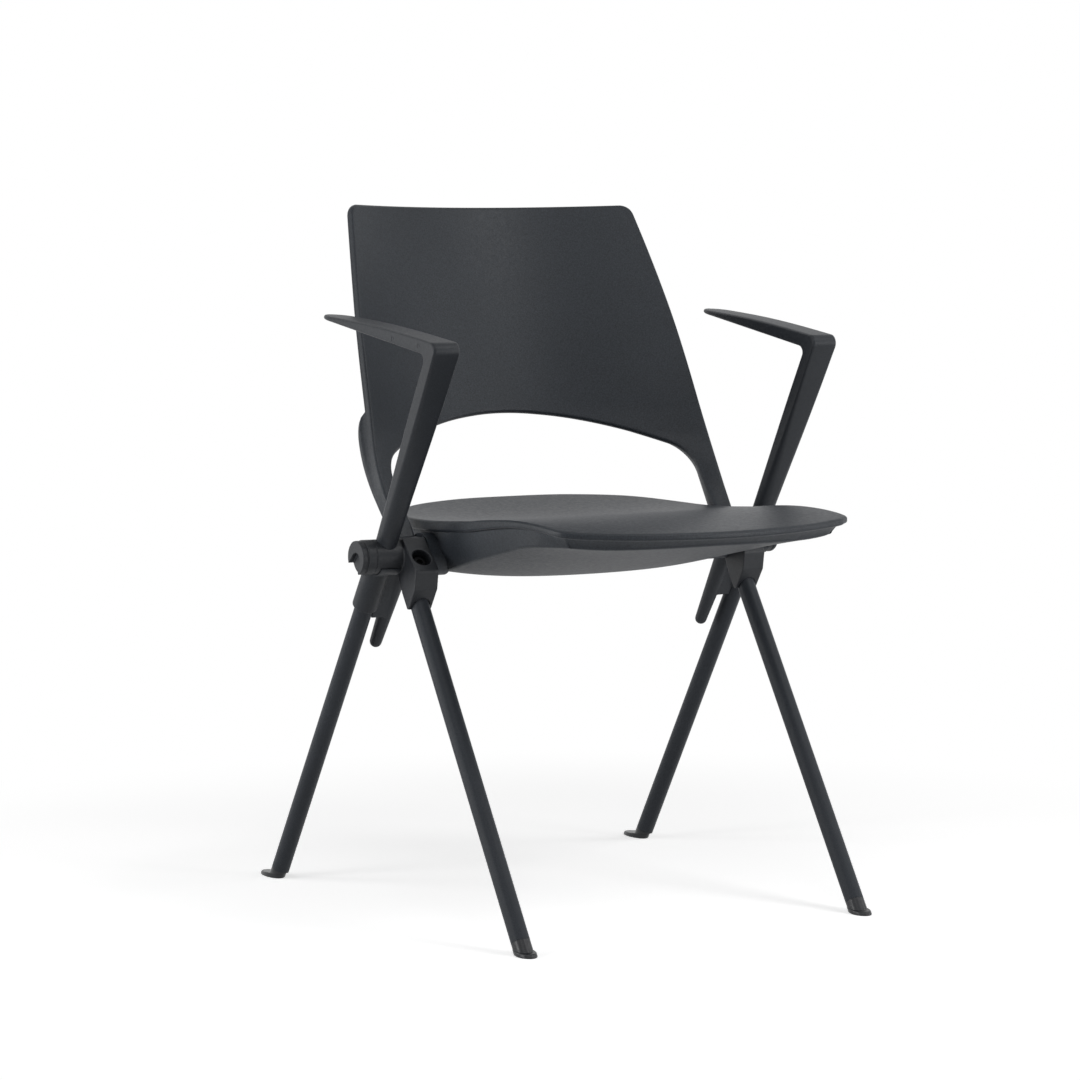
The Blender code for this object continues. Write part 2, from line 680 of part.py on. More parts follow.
def make_sleeve():
    """Cover round the rear leg under the barrel, with a web and a tongue for the next chair in a stack."""
    sleeve = rod("rear_leg_sleeve_left", SLEEVE_R, -SLEEVE_END, -SLEEVE_TOP, NYLON, home=chair)
    place(sleeve, REAR_HEAD, REAR_TURN)
    bar = [(0, -TONGUE_TOP), (TONGUE_TOP_R, -TONGUE_TOP)]
    for k in range(4):
        angle = math.pi / 2 * k / 4
        bar.append((TONGUE_R * math.cos(angle), TONGUE_R - TONGUE_END - TONGUE_R * math.sin(angle)))
    bar.append((0, -TONGUE_END))
    tongue = turned("tongue", bar, NYLON, SMALL_STEPS, home=cutters)
    place(tongue, (TONGUE_X, REAR_HEAD.y + TONGUE_BACK, REAR_HEAD.z), REAR_TURN)
    half = WEB_THICKNESS / 2
    web_low = [(-half, -WEB_END), (half, -WEB_END)]
    web_high = [(half, -SLEEVE_TOP), (-half, -SLEEVE_TOP)]
    web = plate("web", web_low + web_high, TONGUE_X - REAR_HEAD.x, 0, NYLON)
    place(web, REAR_HEAD, REAR_TURN)
    lip_shape = sector(BARREL_R, BARREL_R + LIP_THICKNESS, LIP_FRONT, LIP_REAR, 8)
    lip = plate("lip", lip_shape, BLOCK_OUT + LIP_FROM_BLOCK, BARREL_OUT - LIP_FROM_END, NYLON)
    join(sleeve, tongue, web, lip)
    bore = rod("bore", TUBE_R + CLEAR, -TONGUE_END, BARREL_R)
    place(bore, REAR_HEAD, REAR_TURN)
    low = TONGUE_X - TONGUE_TOP_R - PAST
    saddle = along_x(rod("saddle", BARREL_R + CLEAR, low, BARREL_OUT + PAST))
    return cut(sleeve, bore, saddle)


# Arms


def arm_rails():
    """Outer and inner line of the arm in (Y, Z), each as foot, points round the corner, and tip."""
    up = Vector((-math.sin(ARM_LEAN), math.cos(ARM_LEAN)))
    front = Vector((-up.y, up.x))
    back = Vector((math.cos(ARM_PITCH), math.sin(ARM_PITCH)))
    foot = Vector(ARM_FOOT[1:])
    axis_top = foot + up * ARM_RISE / math.cos(ARM_LEAN)
    foot_front = foot + front * ARM_BASE_DEPTH / 2
    foot_rear = foot - front * ARM_BASE_DEPTH / 2
    corner = axis_top + front * ARM_TOP_DEPTH / 2
    inner_top = axis_top - front * ARM_TOP_DEPTH / 2
    tip = corner + back * ARM_LENGTH
    under_tip = tip - Vector((0, PAD_TIP_THICKNESS))
    under_front = corner + back * PAD_FRONT_RUN - Vector((0, PAD_FRONT_THICKNESS))
    slope = (under_tip - under_front) / (under_tip - under_front).x
    lean = (inner_top - foot_rear) / (inner_top - foot_rear).y
    apart = under_front.x - foot_rear.x - (under_front.y - foot_rear.y) * lean.x
    inner_corner = under_front + slope * apart / (lean.x * slope.y - 1)
    outer = corner_arc(foot_front, corner, tip, ARM_OUTER_R, 5)
    inner = corner_arc(foot_rear, inner_corner, under_tip, ARM_INNER_R, 5)
    return [foot_front, *map(Vector, outer), tip], [foot_rear, *map(Vector, inner), under_tip]


def make_arm():
    """One moulding: a post that leans forward from the hub and a pad that runs back from its top."""
    outer, inner = arm_rails()
    base_r = ARM_BASE_WIDTH / 2
    stations = []
    for k in range(6):
        t = k / 5
        width = ARM_BASE_WIDTH + (ARM_TOP_WIDTH - ARM_BASE_WIDTH) * t
        edge_r = base_r + (ARM_EDGE_R - base_r) * blend(0, 0.9, t)
        hidden_r = base_r + (ARM_HIDDEN_R - base_r) * blend(0, 0.9, t)
        x = ARM_X + (ARM_X_FRONT - ARM_X) * t
        stations.append((outer[0].lerp(outer[1], t), inner[0].lerp(inner[1], t), width, edge_r, hidden_r, x))
    turning = len(outer) - 3
    for k in range(1, turning + 1):
        hidden_r = ARM_HIDDEN_R + (ARM_EDGE_R - ARM_HIDDEN_R) * k / turning
        stations.append((outer[k + 1], inner[k + 1], ARM_TOP_WIDTH, ARM_EDGE_R, hidden_r, ARM_X_FRONT))
    for k in range(1, 9):
        t = 1 - (1 - k / 8) ** 1.5
        a = outer[-2].lerp(outer[-1], t) + Vector((0, PAD_CROWN * math.sin(math.pi * t)))
        b = inner[-2].lerp(inner[-1], t)
        narrow = max(1 - (outer[-1] - a).length / PAD_TIP_ROUND, 0)
        width = ARM_TOP_WIDTH * math.sqrt(max(1 - narrow * narrow, 0.02))
        edge_r = min(ARM_EDGE_R, (a - b).length / 2)
        stations.append((a, b, width, edge_r, edge_r, ARM_X_FRONT + (ARM_X_TIP - ARM_X_FRONT) * t))

    rings = []
    for a, b, width, edge_r, hidden_r, x in stations:
        middle = (a + b) / 2
        run = a - b
        upward = Vector((0, run.x, run.y)).normalized()
        centre = Vector((x, middle.x, middle.y))
        radii = (edge_r, edge_r, hidden_r, edge_r)
        rings.append(rounded_section(centre, Vector((1, 0, 0)), upward, width / 2, run.length / 2, radii))
    arm = skin("armrest_left", rings, NYLON)
    saddle = along_x(rod("saddle", BARREL_R + CLEAR, BLOCK_OUT - PAST, BARREL_OUT + PAST))
    bore = rod("bore", ARM_SPIGOT_R + CLEAR, 0, ARM_SPIGOT_LENGTH + CLEAR, steps=SMALL_STEPS)
    place(bore, ARM_FOOT, ARM_TURN)
    return cut(arm, saddle, bore)


# Back


def back_half_width(z):
    share = max(z - HUB_Z - BACK_TAPER_FROM, 0) / (BACK_RISE - BACK_TAPER_FROM)
    return BACK_HALF_WIDTH - BACK_NARROWING * share**BACK_TAPER_POWER


def upright_front(z):
    depth = UPRIGHT_DEPTH / 2 / math.cos(FRONT_LEAN)
    return front_leg_y(z) - depth


def back_front(x, z):
    """Y of the back's front surface: a leaning shell, bowed in plan, that runs into straight uprights."""
    height = z - HUB_Z
    above = height - EDGE_FROM_Z
    sag = EDGE_SAG * (above / (BACK_RISE - EDGE_FROM_Z)) ** 2
    edge = HUB_Y + EDGE_FROM_Y + EDGE_SLOPE * above + sag
    line = upright_front(z)
    edge = (edge + line - math.sqrt((edge - line) ** 2 + EDGE_SOFT * EDGE_SOFT)) / 2
    across = min(abs(x) / back_half_width(z), 1)
    share = max(height - ARCH_RISE, 0) / (BACK_RISE - ARCH_RISE)
    bow = (BACK_BOW + (BACK_TOP_BOW - BACK_BOW) * share) * blend(BACK_BOW_FROM, BACK_BOW_FULL, height)
    return edge + bow * (1 - across * across)


def back_normal(x, z):
    step = 0.002
    by_x = (back_front(x + step, z) - back_front(x - step, z)) / (2 * step)
    by_z = (back_front(x, z + step) - back_front(x, z - step)) / (2 * step)
    return Vector((-by_x, 1, -by_z)).normalized()


def spaced(points, count):
    """Points at equal distances along a chain of points."""
    lengths = [0.0]
    for a, b in zip(points, points[1:]):
        lengths.append(lengths[-1] + (Vector(b) - Vector(a)).length)
    made = []
    k = 0
    for step in range(count + 1):
        goal = lengths[-1] * step / count
        while k < len(points) - 2 and lengths[k + 1] < goal:
            k += 1
        share = (goal - lengths[k]) / (lengths[k + 1] - lengths[k])
        made.append(Vector(points[k]).lerp(Vector(points[k + 1]), share))
    return made


def back_rails():
    """Matching points in (X, Z) on the inner edge (arch and upright) and the outer edge (top and side)."""
    foot = HUB_Z + HUB_TOP - BARREL_R
    top = HUB_Z + BACK_RISE
    crown = HUB_Z + ARCH_RISE
    inside = BACK_HALF_WIDTH - UPRIGHT_WIDTH
    half = back_half_width(top)

    def arch(x):
        return (x, crown - ARCH_DROP * (x / inside) ** 2)

    def arch_run(start, stop, steps):
        return [arch(start + (stop - start) * k / steps) for k in range(steps + 1)]

    def top_edge(x):
        return (x, top - BACK_DIP * (1 - (x / half) ** 2))

    def side_run(start, stop, steps):
        heights = [start + (stop - start) * k / steps for k in range(steps + 1)]
        return [(back_half_width(z), z) for z in heights]

    fillet = corner_arc(arch(inside - ARCH_FILLET_R), arch(inside), (inside, foot), ARCH_FILLET_R, 4)
    beside = (back_half_width(top - BACK_CORNER_R), top - BACK_CORNER_R)
    bend = corner_arc(top_edge(half - BACK_CORNER_R), (half, top), beside, BACK_CORNER_R, 4)
    meet = inside / 2  # the arch's point opposite the top corner
    past_meet = meet + BACK_CORNER_R
    low_side = crown - BACK_THICKNESS
    knee = fillet[-1][1] - BACK_EDGE_R
    parts = [
        (arch_run(0, meet, 6), [top_edge(bend[0][0] * k / 6) for k in range(6)] + [bend[0]], 6),
        (arch_run(meet, past_meet, 2), bend, 3),
        (arch_run(past_meet, fillet[0][0], 8), [bend[-1]] + side_run(bend[-1][1], low_side, 10)[1:], 9),
        (fillet, side_run(low_side, knee, 4), 4),
        ([fillet[-1], (inside, foot)], side_run(knee, foot, 1), 4),
    ]
    inner = []
    outer = []
    for a, b, count in parts:
        inner += spaced(a, count)[bool(inner) :]
        outer += spaced(b, count)[bool(outer) :]
    return inner, outer


def back_section(low, high, fills=5, rounds=3):
    """One closed ring through the shell, from the inner rail to the outer rail and back along the rear."""
    length = (high - low).length
    in_edge = [BACK_EDGE_R * (1 - math.cos(math.pi / 2 * k / rounds)) for k in range(rounds + 1)]
    middle = [in_edge[-1] + (length - 2 * in_edge[-1]) * k / fills for k in range(1, fills)]
    insets = in_edge + middle + [length - d for d in reversed(in_edge)]
    front = []
    rear = []
    for inset in insets:
        x, z = low.lerp(high, inset / length)
        surface = Vector((x, back_front(x, z), z))
        normal = back_normal(x, z)
        height = z - HUB_Z
        from_side = back_half_width(z) - x
        thick = blend(SHOULDER_TOP, SHOULDER_TOP - SHOULDER_LENGTH, height)
        thick *= 1 - blend(UPRIGHT_WIDTH * 0.9, UPRIGHT_WIDTH * 1.9, from_side)
        depth = BACK_THICKNESS + (UPRIGHT_DEPTH - BACK_THICKNESS) * thick
        rim = min(inset, length - inset)
        rear_r = BACK_EDGE_R + (UPRIGHT_EDGE_R - BACK_EDGE_R) * thick
        front.append(surface + normal * edge_drop(rim, BACK_EDGE_R))
        rear.append(surface + normal * (depth - edge_drop(rim * rear_r / BACK_EDGE_R, rear_r)))
    return front + rear[::-1]


def make_back():
    inner, outer = back_rails()
    rings = [back_section(a, b) for a, b in zip(inner, outer)]
    for point in rings[0]:
        point.x = 0
    back = skin("backrest", rings, SHELL, start="open")
    mirror = back.modifiers.new("Mirror", "MIRROR")
    mirror.merge_threshold = 0.00005
    settle(back)
    seat_plane = HUB_Z + HUB_TOP + CLEAR
    shape = bmesh.new()
    shape.from_mesh(back.data)
    everything = shape.verts[:] + shape.edges[:] + shape.faces[:]
    bmesh.ops.bisect_plane(
        shape, geom=everything, plane_co=(0, 0, seat_plane), plane_no=(0, 0, 1), clear_inner=True
    )
    rims = [edge for edge in shape.edges if edge.is_boundary]
    bmesh.ops.holes_fill(shape, edges=rims)
    bmesh.ops.recalc_face_normals(shape, faces=shape.faces)
    shape.to_mesh(back.data)
    shape.free()
    smooth(back.data)
    bores = []
    for side in (1, -1):
        bore = rod("bore", BACK_SPIGOT_R + CLEAR, 0, BACK_SPIGOT_LENGTH + CLEAR, steps=SMALL_STEPS)
        bores.append(place(bore, (side * FRONT_X, FRONT_HEAD.y, FRONT_HEAD.z), FRONT_TURN))
    return cut(back, *bores)


# Seat


def seat_top(x, y):
    """Height of the seat's upper surface: a low crest in front of a soft ridge, a scoop behind it."""
    behind = y - HUB_Y - RIDGE_Y
    across = (x / SEAT_HALF_WIDTH) ** 2
    ahead = min(max(-behind / (SEAT_FRONT + RIDGE_Y), 0), 1)
    crest = FRONT_CREST * (FRONT_CREST_MIDDLE + (1 - FRONT_CREST_MIDDLE) * across)
    front = crest * math.sin(math.pi * ahead) - FRONT_FALL * ahead**4
    run = RIDGE_ROUND * math.log1p(math.exp(min(behind / RIDGE_ROUND, 300)))
    fall = SCOOP * (1 - SCOOP_SIDE * across) * math.sin(math.pi / 2 * min(run / SCOOP_LENGTH, 1))
    climb = max(run - SCOOP_LENGTH, 0) / REAR_LIFT_LENGTH
    lift = REAR_LIFT * (1 - REAR_LIFT_SIDE * across) * (1 - math.cos(math.pi / 2 * climb))
    return HUB_Z + SEAT_TOP + front - fall + lift


def seat_bottom(x, y):
    """Height of the shell's lower surface: the shell thins towards the front and the rear."""
    thin = blend(SEAT_THIN_FROM, SEAT_THIN_TO, abs(y - HUB_Y))
    return seat_top(x, y) - SEAT_THICKNESS + (SEAT_THICKNESS - SEAT_END_THICKNESS) * thin


def seat_outline(count):
    """Plan of the seat as a smooth closed curve through a few points, from the middle of the front."""
    front = HUB_Y - SEAT_FRONT
    rear = HUB_Y + SEAT_REAR
    corner = front + SEAT_FRONT_BOW
    wide = SEAT_HALF_WIDTH
    slim = wide - SEAT_FRONT_TAPER
    half = [
        (0, front),
        (SEAT_CORNER_X * 0.5, front + SEAT_FRONT_BOW * 0.24),
        (SEAT_CORNER_X * 0.86, front + SEAT_FRONT_BOW * 0.68),
        (SEAT_CORNER_X, corner),
        (slim - SEAT_FRONT_TAPER / 2, corner + SEAT_CORNER_RUN),
        (slim, corner + SEAT_SIDE_RUN),
        (wide, HUB_Y),
        (wide * 0.965, HUB_Y + SEAT_REAR * 0.47),
        (wide * 0.78, HUB_Y + SEAT_REAR * 0.80),
        (wide * 0.42, HUB_Y + SEAT_REAR * 0.965),
        (0, rear),
    ]
    points = [Vector(p) for p in half] + [Vector((-x, y)) for x, y in half[-2:0:-1]]
    dense = []
    total = len(points)
    for k in range(total):
        p0, p1, p2, p3 = (points[(k + j) % total] for j in (-1, 0, 1, 2))
        for step in range(12):
            t = step / 12
            curve = p1 * 2 + (p2 - p0) * t
            curve += (p0 * 2 - p1 * 5 + p2 * 4 - p3) * t * t + (p1 * 3 - p0 - p2 * 3 + p3) * t**3
            dense.append(curve / 2)
    return spaced(dense + [dense[0]], count)[:count]


def inward(outline, k):
    """Unit vector into the outline at one of its points."""
    run = outline[(k + 1) % len(outline)] - outline[k - 1]
    return Vector((-run.y, run.x)).normalized()


def inset_outline(outline, inset):
    return [point + inward(outline, k) * inset for k, point in enumerate(outline)]


def shrunk(outline, share):
    middle = Vector((0, HUB_Y - SEAT_FRONT * 0.25))
    return [middle.lerp(point, share) for point in outline]


def make_seat_shell():
    outline = seat_outline(SEAT_STEPS)
    rounds = 3
    shares = [1 - math.cos(math.pi / 2 * k / rounds) for k in range(rounds + 1)]
    top = inset_outline(outline, SEAT_ROLL)
    bottom = inset_outline(outline, SEAT_EDGE_R)

    def over(points, drop):
        return [(p.x, p.y, seat_top(p.x, p.y) - drop) for p in points]

    def under(points, lift):
        return [(p.x, p.y, seat_bottom(p.x, p.y) + lift) for p in points]

    def upper_rim(share):
        return over(inset_outline(outline, SEAT_ROLL * share), SEAT_ROLL_DROP * edge_drop(share, 1))

    def lower_rim(share):
        return under(inset_outline(outline, SEAT_EDGE_R * share), SEAT_EDGE_R * edge_drop(share, 1))

    upper = [over(shrunk(top, share), 0) for share in SEAT_FILLS]
    lower = [under(shrunk(bottom, share), 0) for share in HIDDEN_FILLS]
    rim_up = [upper_rim(share) for share in reversed(shares)]
    rim_low = [lower_rim(share) for share in shares]
    pole = shrunk(top[:1], 0)
    rings = [over(pole, 0), *upper, *rim_up, *rim_low, *lower[::-1], under(pole, 0)]
    return skin("seat_shell", rings, SHELL, start="pole", end="pole")


def pan_bottom(x, y):
    """Height of the pan's underside: a straight fall from the front to a rounded belly under the hubs."""
    lean = (BELLY_REAR_SLOPE - BELLY_FRONT_SLOPE) / 2
    fold = (BELLY_REAR_SLOPE + BELLY_FRONT_SLOPE) / 2
    run = y - HUB_Y
    least = BELLY_ROUND * math.sqrt(fold * fold - lean * lean)
    rise = lean * run + fold * math.sqrt(run * run + BELLY_ROUND * BELLY_ROUND) - least
    across = (x / SEAT_HALF_WIDTH) ** 2
    ahead = min(max(-run / SEAT_FRONT, 0), 1)
    flank = BELLY_SIDE_RISE * across * across * math.sin(math.pi * ahead)
    curl = BELLY_CURL * across * across * (1 - blend(0, BELLY_CURL_LENGTH, abs(run)))
    return HUB_Z - BELLY_DROP + rise + BELLY_CROSS_RISE * across * (1 - ahead**8) + curl + flank


def make_seat_pan():
    """A tray under the shell: its rim meets the shell, and its belly holds the bushes in two bosses."""
    outline = inset_outline(seat_outline(SEAT_STEPS), PAN_INSET)
    inner = inset_outline(outline, PAN_WALL)

    def rim_height(p):
        return seat_bottom(p.x, p.y) - CLEAR

    def rim(points):
        return [(p.x, p.y, rim_height(p)) for p in points]

    def floor_height(p, lift):
        return min(pan_bottom(p.x, p.y) + lift, rim_height(p) - PAN_RIM)

    def knee(points, lift):
        """Where the upright part of the wall ends."""
        made = []
        for p in points:
            most = (rim_height(p) - floor_height(p, lift)) / 2
            made.append((p.x, p.y, rim_height(p) - min(PAN_UPRIGHT, most)))
        return made

    def foot(inset):
        """Plan of the wall's foot, which leans inward where the wall is high."""
        made = []
        for k, p in enumerate(outline):
            lean = PAN_LEAN * max(rim_height(p) - floor_height(p, 0) - PAN_UPRIGHT, 0)
            made.append(p + inward(outline, k) * (lean + inset))
        return made

    def floor(points, lift):
        return [(p.x, p.y, floor_height(p, lift)) for p in points]

    pole = shrunk(inner[:1], 0)
    under = [floor(shrunk(foot(PAN_EDGE), share), 0) for share in SEAT_FILLS]
    over = [floor(shrunk(foot(PAN_WALL), share), PAN_WALL) for share in HIDDEN_FILLS]
    inner_lift = PAN_WALL + PAN_EDGE_RISE
    rings = [floor(pole, 0), *under, floor(foot(PAN_EDGE), 0), floor(foot(0), PAN_EDGE_RISE)]
    rings += [knee(outline, PAN_EDGE_RISE), rim(outline), rim(inner), knee(inner, inner_lift)]
    rings += [floor(foot(PAN_WALL), inner_lift), *over[::-1], floor(pole, PAN_WALL)]
    pan = skin("seat_pan", rings, SHELL, start="pole", end="pole")
    bosses = []
    for side in (1, -1):
        ends = sorted((side * (PAN_SIDE - BUSH_DEPTH), side * (BLOCK_IN - PAN_BOSS_GAP)))
        bosses.append(along_x(rod("boss", PAN_BOSS_R, *ends, SHELL)))
    join(pan, *bosses)
    wide = BUSH_FLANGE_R + CLEAR
    slim = BUSH_R + CLEAR
    half = [(0, BLOCK_IN), (wide, BLOCK_IN), (wide, BUSH_SEAT), (slim, BUSH_SEAT)]
    stepped = half + [(radius, -height) for radius, height in reversed(half)]
    return cut(pan, along_x(turned("hole", stepped, SHELL, home=cutters)))


def make_bush():
    """Turns on the cross tube; a groove in its outer face takes the hub's stop lug."""
    face = BLOCK_IN - RUN_GAP
    inside = CROSS_TUBE_R + CLEAR
    flange = BUSH_SEAT + CLEAR
    deep = PAN_SIDE - BUSH_DEPTH
    profile = [(BUSH_FLANGE_R, face), (BUSH_FLANGE_R, flange), (BUSH_R, flange), (BUSH_R, deep)]
    profile += [(inside, deep), (inside, face)]
    bush = along_x(turned("pivot_bush_left", profile, NYLON, closed=True))
    spare = 1.2 * CLEAR / STOP_LUG_INNER_R
    start = -math.pi / 2 - STOP_LUG_ANGLE / 2 - spare
    stop = -math.pi / 2 + STOP_LUG_ANGLE / 2 + TIP_ANGLE + spare
    shape = sector(STOP_LUG_INNER_R - CLEAR, STOP_LUG_OUTER_R + CLEAR, start, stop, 10)
    groove = plate("groove", shape, BLOCK_IN - STOP_LUG_LENGTH - CLEAR, BLOCK_IN + PAST, NYLON)
    return cut(bush, groove)


def make_cross_tube():
    end = BLOCK_IN + CROSS_TUBE_SOCKET - CLEAR
    inner = CROSS_TUBE_R - CROSS_TUBE_WALL
    return along_x(tube("cross_tube", CROSS_TUBE_R, inner, -end, end, PAINT))


# Assembly


def hold(name, location, pieces):
    """An empty that carries a rigid group of pieces."""
    empty = bpy.data.objects.new(name, None)
    chair.objects.link(empty)
    empty.location = location
    bpy.context.view_layer.update()
    for piece in pieces:
        piece.parent = empty
        piece.matrix_parent_inverse = empty.matrix_world.inverted()


fixed = [make_back(), make_cross_tube(), make_linking_hook(), make_linking_cap()]
left_side = [make_hub(), make_leg_bolt(), make_front_leg(), make_rear_leg(), *make_feet()]
left_side += [make_sleeve(), make_arm()]
for left_piece in left_side:
    fixed += pair(left_piece)
tipping = [make_seat_shell(), make_seat_pan(), *pair(make_bush())]

hold("frame", (0, 0, 0), fixed)
hold("seat_pivot", HUB, tipping)
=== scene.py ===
"""Looks of the linking armchair: fine meshes of the CAD's forms, finishes, studio light and camera.

Metres, +Z up, in the frame of the CAD. The sizes are the CAD's own, except those marked "finer",
which were set later on crops of the photograph. Pairs are made on the left and mirrored.
"""

import json
import math

import bmesh
import bpy
from mathutils import Euler, Matrix, Vector


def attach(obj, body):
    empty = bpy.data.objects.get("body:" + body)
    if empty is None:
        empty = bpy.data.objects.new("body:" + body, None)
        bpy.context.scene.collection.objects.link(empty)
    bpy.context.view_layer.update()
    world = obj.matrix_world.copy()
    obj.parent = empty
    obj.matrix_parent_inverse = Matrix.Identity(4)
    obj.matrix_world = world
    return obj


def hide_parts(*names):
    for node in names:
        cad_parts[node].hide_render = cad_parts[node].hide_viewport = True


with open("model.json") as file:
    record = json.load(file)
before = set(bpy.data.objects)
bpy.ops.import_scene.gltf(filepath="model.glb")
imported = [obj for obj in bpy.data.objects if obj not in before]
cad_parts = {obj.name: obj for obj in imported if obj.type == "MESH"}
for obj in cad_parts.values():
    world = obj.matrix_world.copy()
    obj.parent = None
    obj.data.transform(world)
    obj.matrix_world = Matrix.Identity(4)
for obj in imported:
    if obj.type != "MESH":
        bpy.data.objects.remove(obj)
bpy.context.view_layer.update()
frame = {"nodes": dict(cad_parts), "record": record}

# Clearances
CLEAR = 0.0003  # between pieces that are fitted together
PAST = 0.010  # how far a cutter runs past the face it opens

# Hubs: one casting a side, whose axis runs along X
HUB_Y = 0.0105
HUB_Z = 0.4222
BARREL_R = 0.0204
SEAT_TO_HUB = 0.0096  # from the seat's side to the block's inner face
BLOCK_WIDTH = 0.030
BARREL_LENGTH = 0.035
BACK_SEAT_STEP = 0.0006
BACK_SEAT_REAR = 0.0345
BACK_SEAT_LIP = 0.006
BEVEL_TOP_OUT = 0.0140
BEVEL_OUT = 0.0485
BEVEL_DROP = 0.0132
NOSE_R = 0.006
FRONT_FACE_IN = 0.0035
FRONT_FACE_DROP = 0.023
TAIL_OUT = 0.0295
TAIL_DROP = 0.0602
TAIL_END_WIDTH = 0.004
TAIL_REAR_OUT = 0.0131
TAIL_REAR_DROP = 0.0423
TAIL_ROOT = (-0.1, -0.9)  # (Y, Z) from the hub axis, in barrel radii
BARREL_SIDE = (0.94, -0.25)
BOLT_SHARE = 0.6  # place of the leg bolt on the bevel, from its top
BOLT_SHANK_R = 0.004
BOLT_HOLE_DEPTH = 0.030
COUNTERBORE_R = 0.0116
COUNTERBORE_DEPTH = 0.016
CROSS_TUBE_R = 0.0125
CROSS_TUBE_SOCKET = 0.014

# Linking hook and cap
HOOK_DISC = 0.012
HOOK_PLATE = 0.006
HOOK_STEP = 0.0006
HOOK_ROOT = 0.002
HOOK_LAP = 0.0025  # finer: how far the disc laps over the barrel
HOOK_PROUD = 0.0001  # finer
HOOK_GROOVE = 0.0017  # finer: width and depth of the groove behind the plate
HOOK_EYE_R = 0.0110
HOOK_EYE_DROP = 0.0050
HOOK_LOW_END = math.radians(-106)  # finer; angles are counted from the rear, upward
HOOK_TIP = math.radians(-382)
HOOK_EYE_LOW = math.radians(-112)  # finer
HOOK_EYE_TIP = math.radians(-322)
CAP_LENGTH = 0.0035
CAP_DOME = 0.0045

# Legs and feet
TUBE_R = 0.011
TUBE_WALL = 0.0015
FRONT_LEAN = math.radians(33.4)  # from the vertical
FRONT_OFFSET = 0.00765  # the leg's line passes behind the hub axis
FRONT_END_GAP = 0.0266  # from the hub axis to the leg's upper end
FRONT_SEAM_Z = 0.0139
REAR_OUT = 0.024  # from the block to the leg, at the floor
REAR_LEAN = math.radians(32.37)
REAR_SPLAY = math.radians(0.71)
REAR_OFFSET = 0.0032
REAR_SEAM_Z = 0.0150
SOLE_HALF_WIDTH = 0.0118
SOLE_EDGE = 0.0016
FLANGE_EDGE = 0.0012
FRONT_FOOT = {"toe": 0.0290, "heel": 0.0052, "toe_height": 0.0048, "heel_height": 0.0068}
REAR_FOOT = {"toe": 0.0489, "heel": 0.0007, "toe_height": 0.0042, "heel_height": 0.0075}
FOOT_PLUG = 0.022

# Rear leg sleeve
SLEEVE_R = 0.0150
SLEEVE_TOP = 0.006  # from the hub axis, along the leg
SLEEVE_END = 0.0728
WEB_THICKNESS = 0.0115
WEB_END = 0.0874
TONGUE_TOP = 0.012
TONGUE_TOP_R = 0.0116
TONGUE_R = 0.0073
TONGUE_OUT = 0.0016
TONGUE_BACK = 0.0033
TONGUE_END = 0.1360
LIP_THICKNESS = 0.0016  # of the band under the barrel
LIP_FROM_BLOCK = 0.0014
LIP_FROM_END = 0.0065
LIP_FRONT = math.radians(-142)
LIP_REAR = math.radians(-38)

# Arms
ARM_OUT = 0.0172  # from the block to the post
ARM_FRONT_IN = 0.0024  # finer
ARM_TIP_OUT = 0.0078
ARM_LEAN = math.radians(30.8)  # finer
ARM_OFFSET = 0.0020
ARM_RISE = 0.2553  # front corner above the hub axis
ARM_PITCH = math.radians(5.5)  # finer; the pad rises to the rear
ARM_LENGTH = 0.2775  # finer
ARM_BASE_WIDTH = 0.0235
ARM_BASE_DEPTH = 0.0255
ARM_TOP_WIDTH = 0.034
ARM_TOP_DEPTH = 0.017
ARM_ROUND_TO = 0.9  # share of the post that turns from round to edged
PAD_FRONT_THICKNESS = 0.0162  # finer
PAD_FRONT_RUN = 0.040  # from the corner to where that is measured
PAD_TIP_THICKNESS = 0.0035
PAD_CROWN = 0.0030  # finer
PAD_TIP_ROUND = 0.032
PAD_TIP_LEAST = 0.02  # of the width's square, at the end
ARM_OUTER_R = 0.010
ARM_INNER_R = 0.008
ARM_EDGE_R = 0.0035
ARM_HIDDEN_R = 0.0075  # the post's inner rear edge
PLUG_R = 0.0028  # finer, as are the next two
PLUG_GROOVE = 0.0007
PLUGS = ((-0.1052, 0.6698), (-0.0475, 0.6759))  # (Y, Z) in the pad's outer face

# Back
BACK_RISE = 0.4085
BACK_PAST_LEG = 0.010
BACK_NARROWING = 0.0396  # of each side
BACK_TAPER_POWER = 1.6
BACK_TAPER_FROM = 0.078
BACK_BOW = 0.094  # of the middle behind the sides, at the arch
BACK_TOP_BOW = 0.058  # the same at the top
BACK_BOW_FROM = 0.018
BACK_BOW_FULL = 0.128
BACK_DIP = 0.0035
BACK_CORNER_R = 0.014
BACK_EDGE_R = 0.0042
BACK_THICKNESS = 0.0095
EDGE_FROM_Z = 0.185  # start of the side edge's curve
EDGE_FROM_Y = 0.0927
EDGE_SLOPE = 0.40
EDGE_SAG = 0.0130
EDGE_SOFT = 0.010  # softness of the bend from upright to shell
ARCH_RISE = 0.152
ARCH_DROP = 0.0475
ARCH_FILLET_R = 0.032  # finer
UPRIGHT_WIDTH = 0.0245
UPRIGHT_DEPTH = 0.0245
UPRIGHT_EDGE_WIDTH = 0.009  # finer, as is the depth
UPRIGHT_EDGE_DEPTH = 0.017
SHOULDER_TOP = 0.1634  # finer, as is the length
SHOULDER_LENGTH = 0.030
SHOULDER_FULL = 0.9  # upright widths from the side: the bulge fades out
SHOULDER_GONE = 1.9
WAIST = 0.0016  # finer: the sides draw in
WAIST_FROM = 0.09
WAIST_AT = 0.165
WAIST_TO = 0.29

